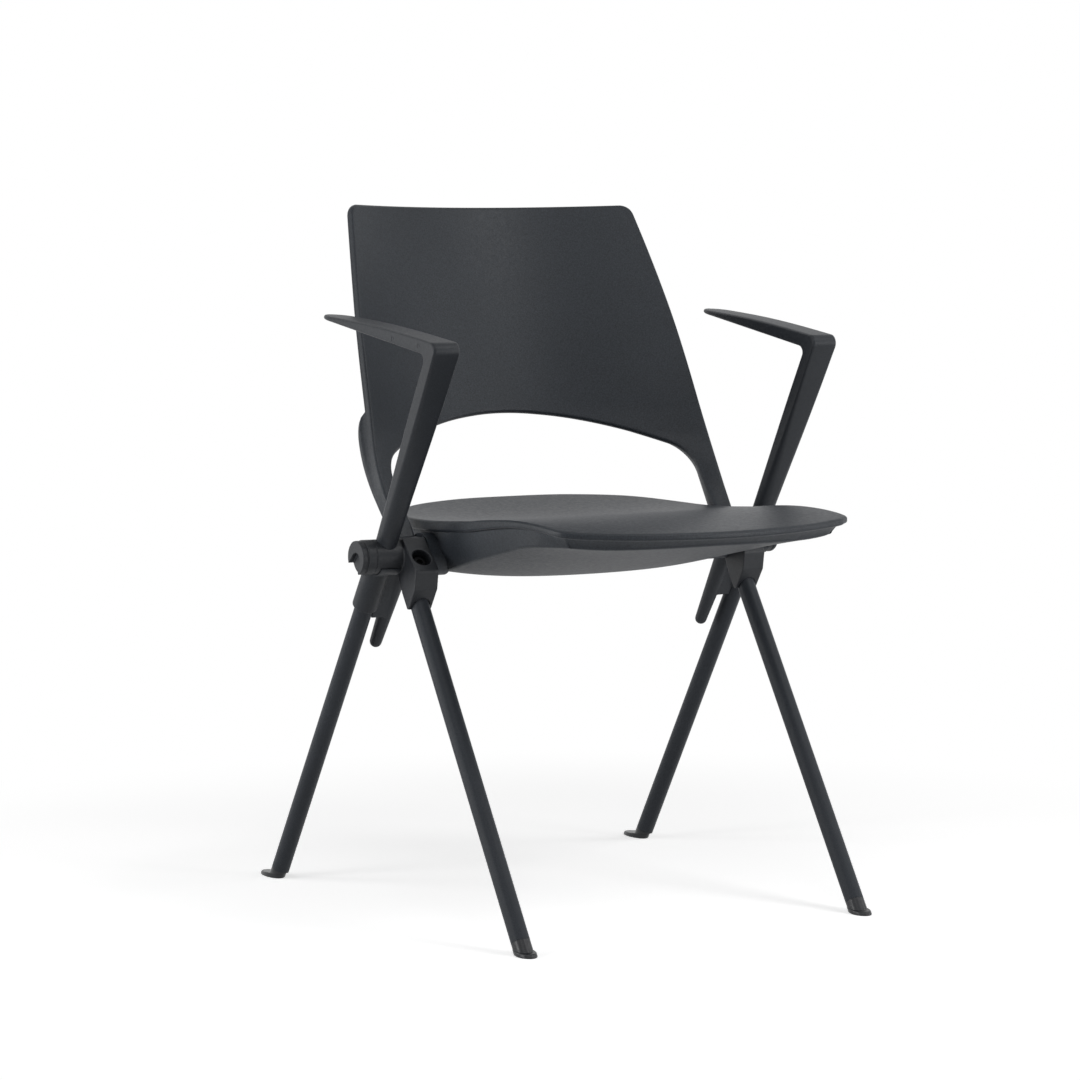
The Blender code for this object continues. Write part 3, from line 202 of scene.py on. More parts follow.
# Seat shell and pan
SEAT_TOP = 0.0458
SEAT_THICKNESS = 0.0128
SEAT_END_THICKNESS = 0.0085
SEAT_THIN_FROM = 0.070
SEAT_THIN_TO = 0.230
SEAT_EDGE_R = 0.0030
SEAT_ROLL = 0.004  # finer, as is the drop
SEAT_ROLL_DROP = 0.0030
SEAT_HALF_WIDTH = 0.2024
SEAT_FRONT = 0.3355  # from the hub axis, as is the rear
SEAT_REAR = 0.1615
SEAT_FRONT_BOW = 0.040
SEAT_CORNER_X = 0.184
SEAT_FRONT_TAPER = 0.005
SEAT_CORNER_RUN = 0.021  # finer
SEAT_SIDE_RUN = 0.120
FRONT_CURVE = ((0.5, 0.24), (0.86, 0.68))  # shares of the corner's X and of the front's bow
REAR_CURVE = ((0.965, 0.47), (0.78, 0.80), (0.42, 0.965))  # of the half width and of the rear
SEAT_POLE = 0.25  # middle of the rings, as a share of SEAT_FRONT
RIDGE_Y = -0.0935
RIDGE_ROUND = 0.006
SCOOP = 0.0125
SCOOP_SIDE = 0.5  # share of the scoop lost at the sides
SCOOP_LENGTH = 0.130
REAR_LIFT = 0.0150
REAR_LIFT_SIDE = 0.28
REAR_LIFT_LENGTH = 0.120
FRONT_CREST = 0.0086
FRONT_CREST_MIDDLE = 0.4
FRONT_FALL = 0.0022
FRONT_FALL_POWER = 4
PAN_INSET = 0.0055
PAN_WALL = 0.0040
PAN_FRONT_INSET = 0.0025  # finer: added along the front
PAN_FRONT_LEAN = 0.0095  # finer: of the front wall's foot
PAN_LEAN_FROM = 0.21  # distances ahead of the hub axis over which both set in
PAN_LEAN_TO = 0.29
PAN_UPRIGHT = 0.022  # height of the wall's upright part
PAN_LEAN = 0.58
PAN_BOSS_R = 0.0253
PAN_BOSS_GAP = 0.0008
BUSH_SEAT_OUT = 0.0025  # from the pan's side out to the bush's flange
PAN_EDGE = 0.0035
PAN_EDGE_RISE = 0.0025
PAN_RIM = 0.002  # least height of the pan's wall
BELLY_DROP = 0.0325
BELLY_ROUND = 0.030
BELLY_FRONT_SLOPE = 0.2140
BELLY_REAR_SLOPE = 0.476
BELLY_CROSS_RISE = 0.0085
BELLY_CROSS_POWER = 8
BELLY_CURL = 0.0070  # further rise of the sides near the hubs
BELLY_CURL_LENGTH = 0.160
BELLY_SIDE_RISE = 0.0185
BUSH_FLANGE_R = 0.0205
BUSH_R = 0.0165
BUSH_DEPTH = 0.016

# Facets and fine edges
ROUND_STEPS = 72
SEAT_STEPS = 320
SEAT_RINGS = 40
EDGE_STEPS = 8
POST_STEPS = 30
PAD_STEPS = 48
PAD_CROWDING = 1.5  # of the pad's rings towards its tip
RAIL_STEPS = 40
CURVE_STEPS = 60
BACK_DENSITY = 7
BACK_FILLS = 30
NORMAL_STEP = 0.002
CAST_GRID = 0.0007
CAST_PASSES = 9
HOOK_GRID = 0.0005
HOOK_PASSES = 6
EASE_FACTOR = 0.5
LARGEST_CORNER = 0.999  # share of half a side
WELD = 0.00005
PLATE_WELD = 0.00001
EXP_LIMIT = 300  # keeps exp finite
SHARP = math.radians(35)
ALONG_X = (math.pi / 2, 0, math.pi / 2)

BLOCK_IN = SEAT_HALF_WIDTH + SEAT_TO_HUB
BLOCK_OUT = BLOCK_IN + BLOCK_WIDTH
BARREL_OUT = BLOCK_OUT + BARREL_LENGTH
FRONT_X = BLOCK_IN + BLOCK_WIDTH / 2
REAR_X = BLOCK_OUT + REAR_OUT
TONGUE_X = FRONT_X + TONGUE_OUT
ARM_X = BLOCK_OUT + ARM_OUT
ARM_X_FRONT = ARM_X - ARM_FRONT_IN
ARM_X_TIP = ARM_X + ARM_TIP_OUT
BACK_HALF_WIDTH = FRONT_X + BACK_PAST_LEG
HUB_TOP = BARREL_R + BACK_SEAT_STEP
PAN_SIDE = SEAT_HALF_WIDTH - PAN_INSET
BUSH_SEAT = PAN_SIDE + BUSH_SEAT_OUT

# Shares of a rounding's width and of the way from the seat's middle to its rim
EDGE_SHARES = [1 - math.cos(math.pi / 2 * k / EDGE_STEPS) for k in range(EDGE_STEPS + 1)]
FILLS = [k / SEAT_RINGS for k in range(1, SEAT_RINGS)]


# Building helpers


def add(name, data):
    piece = bpy.data.objects.new(name, data)
    bpy.context.scene.collection.objects.link(piece)
    return piece


def smooth(mesh, angle):
    mesh.shade_smooth()
    mesh.set_sharp_from_angle(angle=angle)


def skin(name, rings, start="cap", end="cap"):
    """A loft through rings of equal length; each end is a flat cap, a pole (one point) or open."""
    shape = bmesh.new()
    rows = [[shape.verts.new(point) for point in ring] for ring in rings]
    for near, far in zip(rows, rows[1:]):
        for k in range(max(len(near), len(far))):
            corners = [near[k % len(near)], near[(k + 1) % len(near)]]
            corners += [far[(k + 1) % len(far)], far[k % len(far)]]
            shape.faces.new(list(dict.fromkeys(corners)))
    if start == "cap":
        shape.faces.new(rows[0][::-1])
    if end == "cap":
        shape.faces.new(rows[-1])
    bmesh.ops.recalc_face_normals(shape, faces=shape.faces)
    mesh = bpy.data.meshes.new(name)
    shape.to_mesh(mesh)
    shape.free()
    smooth(mesh, SHARP)
    return add(name, mesh)


def settle(piece, angle=SHARP):
    """Applies the modifiers and shades round faces smooth."""
    bpy.context.view_layer.update()
    graph = bpy.context.evaluated_depsgraph_get()
    mesh = bpy.data.meshes.new_from_object(piece.evaluated_get(graph))
    piece.modifiers.clear()
    piece.data = mesh
    smooth(mesh, angle)
    return piece


def turned(name, profile, closed=False):
    """A turned piece about its own Z; the profile runs down the outer side."""
    mesh = bpy.data.meshes.new(name)
    edges = [(k, k + 1) for k in range(len(profile) - 1)]
    if closed:
        edges.append((len(profile) - 1, 0))
    mesh.from_pydata([(radius, 0, height) for radius, height in profile], edges, [])
    piece = add(name, mesh)
    screw = piece.modifiers.new("Turn", "SCREW")
    screw.steps = ROUND_STEPS
    screw.render_steps = ROUND_STEPS
    screw.use_merge_vertices = True
    screw.merge_threshold = WELD
    return settle(piece)


def rod(name, radius, low, high):
    return turned(name, [(0, high), (radius, high), (radius, low), (0, low)])


def tube(name, outer, inner, low, high):
    return turned(name, [(outer, high), (outer, low), (inner, low), (inner, high)], closed=True)


def plate(name, outline, low, high):
    """A flat outline in (Y, Z), extruded along X from low to high."""
    flat = bpy.data.curves.new(name, "CURVE")
    flat.dimensions = "2D"
    flat.fill_mode = "BOTH"
    flat.extrude = (high - low) / 2
    edge = flat.splines.new("POLY")
    edge.points.add(len(outline) - 1)
    edge.use_cyclic_u = True
    for point, (y, z) in zip(edge.points, outline):
        point.co = (y, z, 0, 1)
    drawn = add(name, flat)
    graph = bpy.context.evaluated_depsgraph_get()
    solid = bpy.data.meshes.new_from_object(drawn.evaluated_get(graph))
    bpy.data.objects.remove(drawn)
    shape = bmesh.new()
    shape.from_mesh(solid)
    bmesh.ops.remove_doubles(shape, verts=shape.verts, dist=PLATE_WELD)
    bmesh.ops.recalc_face_normals(shape, faces=shape.faces)
    to_side = Matrix(((0, 0, 1), (1, 0, 0), (0, 1, 0))).to_4x4()
    shape.transform(Matrix.Translation(((low + high) / 2, 0, 0)) @ to_side)
    shape.to_mesh(solid)
    shape.free()
    return add(name, solid)


def combine(piece, others, operation):
    for other in others:
        step = piece.modifiers.new(other.name, "BOOLEAN")
        step.operation = operation
        step.object = other
    settle(piece)
    for other in others:
        bpy.data.objects.remove(other)
    return piece


def join(piece, *others):
    return combine(piece, others, "UNION")


def cut(piece, *others):
    return combine(piece, others, "DIFFERENCE")


def soften(piece, grid, passes):
    """Melts edges and inner corners into small fillets, as on a casting or a moulding."""
    remesh = piece.modifiers.new("Grid", "REMESH")
    remesh.mode = "VOXEL"
    remesh.voxel_size = grid
    ease = piece.modifiers.new("Ease", "SMOOTH")
    ease.factor = EASE_FACTOR
    ease.iterations = passes
    return settle(piece, math.pi)


def place(piece, location, rotation):
    piece.location = location
    piece.rotation_euler = rotation
    return piece


def along_x(piece, start=0.0):
    """Turns a piece made about its own Z to lie along +X, at the hub axis."""
    return place(piece, (start, HUB_Y, HUB_Z), ALONG_X)


def mirrored(piece, name):
    """The right-hand copy of a left-hand piece."""
    flip = Matrix.Scale(-1, 4, (1, 0, 0))
    mesh = piece.data.copy()
    mesh.transform(flip)
    mesh.flip_normals()
    copy = add(name, mesh)
    bpy.context.view_layer.update()
    copy.matrix_world = flip @ piece.matrix_world @ flip
    return copy


def arc(centre, radius, start, stop, steps):
    """Points on an arc in (Y, Z), the angle counted from +Y towards +Z."""
    angles = [start + (stop - start) * k / steps for k in range(steps + 1)]
    return [(centre[0] + radius * math.cos(a), centre[1] + radius * math.sin(a)) for a in angles]


def corner_arc(before, corner, after, radius, steps):
    """A fillet of the corner between two straight runs, as points in (Y, Z)."""
    corner = Vector(corner)
    inward_run = (Vector(before) - corner).normalized()
    outward_run = (Vector(after) - corner).normalized()
    half = inward_run.angle(outward_run) / 2
    reach = radius / math.tan(half)
    centre = corner + (inward_run + outward_run).normalized() * radius / math.sin(half)
    first = corner + inward_run * reach - centre
    turn = math.pi - 2 * half
    side = math.copysign(1, inward_run.x * outward_run.y - inward_run.y * outward_run.x)
    points = []
    for k in range(steps + 1):
        swung = Matrix.Rotation(-side * turn * k / steps, 2) @ first
        points.append(tuple(centre + swung))
    return points


def rounded_section(centre, across, upward, half_width, half_depth, radii):
    """A ring round a rectangle spanned by two unit vectors, with a radius for each corner."""
    most = min(half_width, half_depth) * LARGEST_CORNER
    ring = []
    for quarter, asked in enumerate(radii):
        radius = min(asked, most)
        a = (half_width - radius) * (1 if quarter in (0, 3) else -1)
        b = (half_depth - radius) * (1 if quarter in (0, 1) else -1)
        for k in range(EDGE_STEPS + 1):
            angle = (quarter + k / EDGE_STEPS) * math.pi / 2
            out = across * (a + radius * math.cos(angle))
            ring.append(centre + out + upward * (b + radius * math.sin(angle)))
    return ring


def blend(low, high, value):
    """Smooth step from 0 at low to 1 at high."""
    t = min(max((value - low) / (high - low), 0), 1)
    return t * t * (3 - 2 * t)


def edge_drop(inset, radius):
    """How far a rounded edge has fallen away at a distance from its rim."""
    if inset >= radius:
        return 0.0
    return radius - math.sqrt(radius * radius - (radius - inset) ** 2)


def spaced(points, count):
    """Points at equal distances along a chain of points."""
    lengths = [0.0]
    for a, b in zip(points, points[1:]):
        lengths.append(lengths[-1] + (Vector(b) - Vector(a)).length)
    made = []
    k = 0
    for step in range(count + 1):
        goal = lengths[-1] * step / count
        while k < len(points) - 2 and lengths[k + 1] < goal:
            k += 1
        share = (goal - lengths[k]) / (lengths[k + 1] - lengths[k])
        made.append(Vector(points[k]).lerp(Vector(points[k + 1]), share))
    return made


# Lines of the legs


def front_leg_y(z):
    return HUB_Y + FRONT_OFFSET + (z - HUB_Z) * math.tan(FRONT_LEAN)


FRONT_TURN = (-FRONT_LEAN, 0, 0)
FRONT_UP = Euler(FRONT_TURN).to_matrix() @ Vector((0, 0, 1))
FRONT_HEAD = Vector((FRONT_X, front_leg_y(HUB_Z), HUB_Z))
FRONT_LOW = (FRONT_SEAM_Z - HUB_Z) / FRONT_UP.z
REAR_TURN = (REAR_LEAN, -REAR_SPLAY, 0)
REAR_UP = Euler(REAR_TURN).to_matrix() @ Vector((0, 0, 1))
REAR_RUN = (HUB_Z - REAR_SEAM_Z) / REAR_UP.z
REAR_HEAD = Vector((REAR_X + REAR_UP.x * REAR_RUN, HUB_Y + REAR_OFFSET, HUB_Z))
REAR_END_GAP = BARREL_R + REAR_OFFSET


# Hubs, hook and cap


def bevel():
    """Upper and lower end of the block's bevel, in (Y, Z)."""
    return (HUB_Y - BEVEL_TOP_OUT, HUB_Z + HUB_TOP), (HUB_Y - BEVEL_OUT, HUB_Z - BEVEL_DROP)


def block_outline():
    """Side view of the block: flat under the back, bevel, front face, tail and rear edge."""
    top = HUB_Z + HUB_TOP
    bevel_top, bevel_low = bevel()
    face_low = (bevel_low[0] + FRONT_FACE_IN, bevel_low[1] - FRONT_FACE_DROP)
    tip = (HUB_Y - TAIL_OUT, HUB_Z - TAIL_DROP)
    tip_rear = (tip[0] + TAIL_END_WIDTH, tip[1])
    rear_low = (HUB_Y - TAIL_REAR_OUT, HUB_Z - TAIL_REAR_DROP)
    rear_high, barrel_side = (
        (HUB_Y + y * BARREL_R, HUB_Z + z * BARREL_R) for y, z in (TAIL_ROOT, BARREL_SIDE)
    )
    seat_back = HUB_Y + BACK_SEAT_REAR
    nose = corner_arc(bevel_top, bevel_low, face_low, NOSE_R, EDGE_STEPS)
    points = [bevel_top, *nose, face_low, tip, tip_rear, rear_low, rear_high, barrel_side]
    return points + [(seat_back, top - BACK_SEAT_LIP), (seat_back, top)]


def into(piece, start, direction):
    """Sets a turned piece at a point, with its Z against a direction in the side plane."""
    return place(piece, start, (math.atan2(direction.y, -direction.z), 0, 0))


def make_hub():
    hub = along_x(rod("hub", BARREL_R, BLOCK_IN, BARREL_OUT))
    join(hub, plate("block", block_outline(), BLOCK_IN, BLOCK_OUT))
    top, low = (Vector((FRONT_X, *point)) for point in bevel())
    run = (top - low).normalized()
    start = top.lerp(low, BOLT_SHARE)
    inside = Vector((0, run.z, -run.y))
    leg_socket = rod("leg_socket", TUBE_R + CLEAR, -TAIL_DROP * 2, -FRONT_END_GAP + CLEAR)
    place(leg_socket, FRONT_HEAD, FRONT_TURN)
    socket_end = BLOCK_IN + CROSS_TUBE_SOCKET
    tube_socket = along_x(rod("socket", CROSS_TUBE_R + CLEAR, BLOCK_IN - PAST, socket_end))
    counterbore = into(rod("counterbore", COUNTERBORE_R, -COUNTERBORE_DEPTH, PAST), start, inside)
    bolt_hole = into(rod("bolt_hole", BOLT_SHANK_R + CLEAR, -BOLT_HOLE_DEPTH, 0), start, inside)
    cut(hub, leg_socket, tube_socket, counterbore, bolt_hole)
    return soften(hub, CAST_GRID, CAST_PASSES)


def make_linking_hook():
    """End of the right-hand barrel: a disc and a plate with an open eye."""
    face = -BARREL_OUT - HOOK_DISC
    hook = along_x(rod("hook", BARREL_R + HOOK_PROUD, face, HOOK_LAP - BARREL_OUT))
    outer = arc((HUB_Y, HUB_Z), BARREL_R - HOOK_STEP, HOOK_LOW_END, HOOK_TIP, ROUND_STEPS)
    eye_at = (HUB_Y, HUB_Z - HOOK_EYE_DROP)
    eye = arc(eye_at, HOOK_EYE_R, HOOK_EYE_TIP, HOOK_EYE_LOW, ROUND_STEPS // 2)
    join(hook, plate("open_eye", outer + eye, face - HOOK_PLATE, face + HOOK_ROOT))
    bore = rod("bore", BARREL_R - HOOK_PROUD, -BARREL_OUT, -BARREL_OUT + PAST)
    ring = [(BARREL_R + PAST, face + HOOK_GROOVE), (BARREL_R + PAST, face)]
    ring += [(BARREL_R - HOOK_GROOVE, face), (BARREL_R - HOOK_GROOVE, face + HOOK_GROOVE)]
    cut(hook, along_x(bore), along_x(turned("groove", ring, closed=True)))
    return soften(hook, HOOK_GRID, HOOK_PASSES)


def make_linking_cap():
    """Domed end on the left-hand barrel."""
    profile = []
    for k in range(EDGE_STEPS * 2):
        angle = math.pi / 2 * k / (EDGE_STEPS * 2)
        profile.append((BARREL_R * math.sin(angle), CAP_LENGTH + CAP_DOME * math.cos(angle)))
    profile += [(BARREL_R, CAP_LENGTH), (BARREL_R, CLEAR), (0, CLEAR)]
    return along_x(turned("cap", profile), BARREL_OUT)


# Legs, feet and sleeves


def make_leg(low, high, head, turn):
    return place(tube("leg", TUBE_R, TUBE_R - TUBE_WALL, low, high), head, turn)


def make_foot(x, seam, up, forward, sizes):
    """A glide: a collar that carries on the tube, an oval flange and a plug in the bore."""
    toe, heel = sizes["toe"], sizes["heel"]
    rise = sizes["toe_height"] - sizes["heel_height"]
    half = (toe + heel) / 2
    middle = seam.y + forward * (toe - heel) / 2
    side = up.cross(Vector((1, 0, 0)))
    angles = [2 * math.pi * k / ROUND_STEPS for k in range(ROUND_STEPS)]
    turns = [math.pi / 2 * k / EDGE_STEPS for k in range(EDGE_STEPS + 1)]

    def oval(inset):
        ring = []
        for angle in angles:
            along = forward * (half - inset) * math.cos(angle)
            across = (SOLE_HALF_WIDTH - inset) * math.sin(angle)
            ring.append(Vector((x + across, middle + along, 0)))
        return ring

    def topped(points, drop):
        """Points of the floor, moved up along the leg to the flange's sloping top."""
        made = []
        for point in points:
            share = (forward * (point.y - middle) / half + 1) / 2
            height = sizes["heel_height"] + rise * share - drop
            made.append(point + up * height / up.z)
        return made

    def collar(radius, height):
        ring = []
        for angle in angles:
            across = Vector((1, 0, 0)) * math.sin(angle)
            ring.append(seam + up * height + (across + side * forward * math.cos(angle)) * radius)
        return ring

    trace = [point - up * point.z / up.z for point in collar(TUBE_R, 0)]
    rings = []
    for turn in turns:
        inset = SOLE_EDGE * (1 - math.sin(turn))
        height = SOLE_EDGE * (1 - math.cos(turn))
        rings.append([point + up * height / up.z for point in oval(inset)])
    for turn in turns:
        inset = FLANGE_EDGE * (1 - math.cos(turn))
        rings.append(topped(oval(inset), FLANGE_EDGE * (1 - math.sin(turn))))
    rings.append(topped(trace, 0))
    rings += [collar(TUBE_R, -CLEAR), collar(TUBE_R - TUBE_WALL - CLEAR, -CLEAR)]
    rings.append(collar(TUBE_R - TUBE_WALL - CLEAR, FOOT_PLUG))
    return skin("foot", rings)


def make_sleeve():
    """Cover round the rear leg, with a web and a tongue for the next chair in a stack."""
    sleeve = place(rod("sleeve", SLEEVE_R, -SLEEVE_END, -SLEEVE_TOP), REAR_HEAD, REAR_TURN)
    bar = [(0, -TONGUE_TOP), (TONGUE_TOP_R, -TONGUE_TOP)]
    for k in range(EDGE_STEPS):
        angle = math.pi / 2 * k / EDGE_STEPS
        bar.append((TONGUE_R * math.cos(angle), TONGUE_R - TONGUE_END - TONGUE_R * math.sin(angle)))
    bar.append((0, -TONGUE_END))
    tongue = turned("tongue", bar)
    place(tongue, (TONGUE_X, REAR_HEAD.y + TONGUE_BACK, REAR_HEAD.z), REAR_TURN)
    half = WEB_THICKNESS / 2
    web_low = [(-half, -WEB_END), (half, -WEB_END)]
    web_high = [(half, -SLEEVE_TOP), (-half, -SLEEVE_TOP)]
    web = place(plate("web", web_low + web_high, TONGUE_X - REAR_HEAD.x, 0), REAR_HEAD, REAR_TURN)
    centre = (HUB_Y, HUB_Z)
    lip_shape = arc(centre, BARREL_R + LIP_THICKNESS, LIP_FRONT, LIP_REAR, ROUND_STEPS)
    lip_shape += arc(centre, BARREL_R, LIP_REAR, LIP_FRONT, ROUND_STEPS)
    lip = plate("lip", lip_shape, BLOCK_OUT + LIP_FROM_BLOCK, BARREL_OUT - LIP_FROM_END)
    join(sleeve, tongue, web, lip)
    bore = place(rod("bore", TUBE_R + CLEAR, -TONGUE_END, BARREL_R), REAR_HEAD, REAR_TURN)
    low = TONGUE_X - TONGUE_TOP_R - PAST
    saddle = along_x(rod("saddle", BARREL_R + CLEAR, low, BARREL_OUT + PAST))
    cut(sleeve, bore, saddle)
    return soften(sleeve, CAST_GRID, CAST_PASSES)


# Arms


def arm_rails():
    """Outer and inner line of the arm in (Y, Z), each as foot, points round the corner, and tip."""
    up = Vector((-math.sin(ARM_LEAN), math.cos(ARM_LEAN)))
    front = Vector((-up.y, up.x))
    back = Vector((math.cos(ARM_PITCH), math.sin(ARM_PITCH)))
    foot = Vector((HUB_Y + ARM_OFFSET, HUB_Z))
    axis_top = foot + up * ARM_RISE / math.cos(ARM_LEAN)
    foot_front = foot + front * ARM_BASE_DEPTH / 2
    foot_rear = foot - front * ARM_BASE_DEPTH / 2
    corner = axis_top + front * ARM_TOP_DEPTH / 2
    inner_top = axis_top - front * ARM_TOP_DEPTH / 2
    tip = corner + back * ARM_LENGTH
    under_tip = tip - Vector((0, PAD_TIP_THICKNESS))
    under_front = corner + back * PAD_FRONT_RUN - Vector((0, PAD_FRONT_THICKNESS))
    slope = (under_tip - under_front) / (under_tip - under_front).x
    lean = (inner_top - foot_rear) / (inner_top - foot_rear).y
    apart = under_front.x - foot_rear.x - (under_front.y - foot_rear.y) * lean.x
    inner_corner = under_front + slope * apart / (lean.x * slope.y - 1)
    outer = corner_arc(foot_front, corner, tip, ARM_OUTER_R, EDGE_STEPS * 2)
    inner = corner_arc(foot_rear, inner_corner, under_tip, ARM_INNER_R, EDGE_STEPS * 2)
    return [foot_front, *map(Vector, outer), tip], [foot_rear, *map(Vector, inner), under_tip]


def pad_x(share):
    """X of the pad's middle, a share of the way from its front to its tip."""
    return ARM_X_FRONT + (ARM_X_TIP - ARM_X_FRONT) * share


def make_arm():
    """One moulding: a post that leans forward and a pad that runs back from its top."""
    outer, inner = arm_rails()
    base_r = ARM_BASE_WIDTH / 2
    stations = []
    for k in range(POST_STEPS + 1):
        t = k / POST_STEPS
        width = ARM_BASE_WIDTH + (ARM_TOP_WIDTH - ARM_BASE_WIDTH) * t
        edged = blend(0, ARM_ROUND_TO, t)
        edge_r = base_r + (ARM_EDGE_R - base_r) * edged
        hidden_r = base_r + (ARM_HIDDEN_R - base_r) * edged
        x = ARM_X + (ARM_X_FRONT - ARM_X) * t
        a, b = (rail[0].lerp(rail[1], t) for rail in (outer, inner))
        stations.append((a, b, width, edge_r, hidden_r, x))
    turning = len(outer) - 3
    for k in range(1, turning + 1):
        hidden_r = ARM_HIDDEN_R + (ARM_EDGE_R - ARM_HIDDEN_R) * k / turning
        a, b = outer[k + 1], inner[k + 1]
        stations.append((a, b, ARM_TOP_WIDTH, ARM_EDGE_R, hidden_r, ARM_X_FRONT))
    for k in range(1, PAD_STEPS + 1):
        t = 1 - (1 - k / PAD_STEPS) ** PAD_CROWDING
        a = outer[-2].lerp(outer[-1], t) + Vector((0, PAD_CROWN * math.sin(math.pi * t)))
        b = inner[-2].lerp(inner[-1], t)
        narrow = max(1 - (outer[-1] - a).length / PAD_TIP_ROUND, 0)
        width = ARM_TOP_WIDTH * math.sqrt(max(1 - narrow * narrow, PAD_TIP_LEAST))
        edge_r = min(ARM_EDGE_R, (a - b).length / 2)
        stations.append((a, b, width, edge_r, edge_r, pad_x(t)))

    rings = []
    for a, b, width, edge_r, hidden_r, x in stations:
        middle = (a + b) / 2
        run = a - b
        upward = Vector((0, run.x, run.y)).normalized()
        centre = Vector((x, middle.x, middle.y))
        radii = (edge_r, edge_r, hidden_r, edge_r)
        halves = (width / 2, run.length / 2)
        rings.append(rounded_section(centre, Vector((1, 0, 0)), upward, *halves, radii))
    saddle = rod("saddle", BARREL_R + CLEAR, BLOCK_OUT - PAST, BARREL_OUT + PAST)
    arm = cut(skin("arm", rings), along_x(saddle))
    for y, z in PLUGS:
        along_pad = (y - outer[-2].x) / (outer[-1].x - outer[-2].x)
        face = pad_x(along_pad) + ARM_TOP_WIDTH / 2
        ring = tube("plug_ring", PLUG_R, PLUG_R - PLUG_GROOVE, face - PLUG_GROOVE, face + PAST)
        cut(arm, place(ring, (0, y, z), ALONG_X))
    return arm


# Back


def back_half_width(z):
    height = z - HUB_Z
    share = max(height - BACK_TAPER_FROM, 0) / (BACK_RISE - BACK_TAPER_FROM)
    waist = WAIST * blend(WAIST_FROM, WAIST_AT, height) * blend(WAIST_TO, WAIST_AT, height)
    return BACK_HALF_WIDTH - BACK_NARROWING * share**BACK_TAPER_POWER - waist


def upright_front(z):
    return front_leg_y(z) - UPRIGHT_DEPTH / 2 / math.cos(FRONT_LEAN)


def back_front(x, z):
    """Y of the back's front: a leaning shell, bowed in plan, that runs into the uprights."""
    height = z - HUB_Z
    above = height - EDGE_FROM_Z
    sag = EDGE_SAG * (above / (BACK_RISE - EDGE_FROM_Z)) ** 2
    edge = HUB_Y + EDGE_FROM_Y + EDGE_SLOPE * above + sag
    line = upright_front(z)
    edge = (edge + line - math.sqrt((edge - line) ** 2 + EDGE_SOFT * EDGE_SOFT)) / 2
    across = min(abs(x) / back_half_width(z), 1)
    share = max(height - ARCH_RISE, 0) / (BACK_RISE - ARCH_RISE)
    bow = BACK_BOW + (BACK_TOP_BOW - BACK_BOW) * share
    bow *= blend(BACK_BOW_FROM, BACK_BOW_FULL, height)
    return edge + bow * (1 - across * across)


def back_normal(x, z):
    step = NORMAL_STEP
    by_x = (back_front(x + step, z) - back_front(x - step, z)) / (2 * step)
    by_z = (back_front(x, z + step) - back_front(x, z - step)) / (2 * step)
    return Vector((-by_x, 1, -by_z)).normalized()


def back_rails():
    """Matching points in (X, Z) on the inner edge (arch, upright) and the outer (top, side)."""
    foot = HUB_Z + HUB_TOP - BARREL_R
    top = HUB_Z + BACK_RISE
    crown = HUB_Z + ARCH_RISE
    inside = BACK_HALF_WIDTH - UPRIGHT_WIDTH
    half = back_half_width(top)
    fine = RAIL_STEPS

    def arch(x):
        return (x, crown - ARCH_DROP * (x / inside) ** 2)

    def arch_run(start, stop):
        return [arch(start + (stop - start) * k / fine) for k in range(fine + 1)]

    def top_edge(x):
        return (x, top - BACK_DIP * (1 - (x / half) ** 2))

    def side_run(start, stop):
        heights = [start + (stop - start) * k / fine for k in range(fine + 1)]
        return [(back_half_width(z), z) for z in heights]

    in_arch = arch(inside - ARCH_FILLET_R)
    fillet = corner_arc(in_arch, arch(inside), (inside, foot), ARCH_FILLET_R, fine)
    beside = (back_half_width(top - BACK_CORNER_R), top - BACK_CORNER_R)
    bend = corner_arc(top_edge(half - BACK_CORNER_R), (half, top), beside, BACK_CORNER_R, fine)
    meet = inside / 2
    past_meet = meet + BACK_CORNER_R
    low_side = crown - BACK_THICKNESS
    knee = fillet[-1][1] - BACK_EDGE_R
    top_run = [top_edge(bend[0][0] * k / fine) for k in range(fine)] + [bend[0]]
    upper_side = [bend[-1]] + side_run(bend[-1][1], low_side)[1:]
    parts = [  # inner run, outer run and their share of the rings
        (arch_run(0, meet), top_run, 6),
        (arch_run(meet, past_meet), bend, 4),
        (arch_run(past_meet, fillet[0][0]), upper_side, 9),
        (fillet, side_run(low_side, knee), 4),
        ([fillet[-1], (inside, foot)], side_run(knee, foot), 4),
    ]
    inner = []
    outer = []
    for a, b, count in parts:
        inner += spaced(a, count * BACK_DENSITY)[bool(inner) :]
        outer += spaced(b, count * BACK_DENSITY)[bool(outer) :]
    return inner, outer


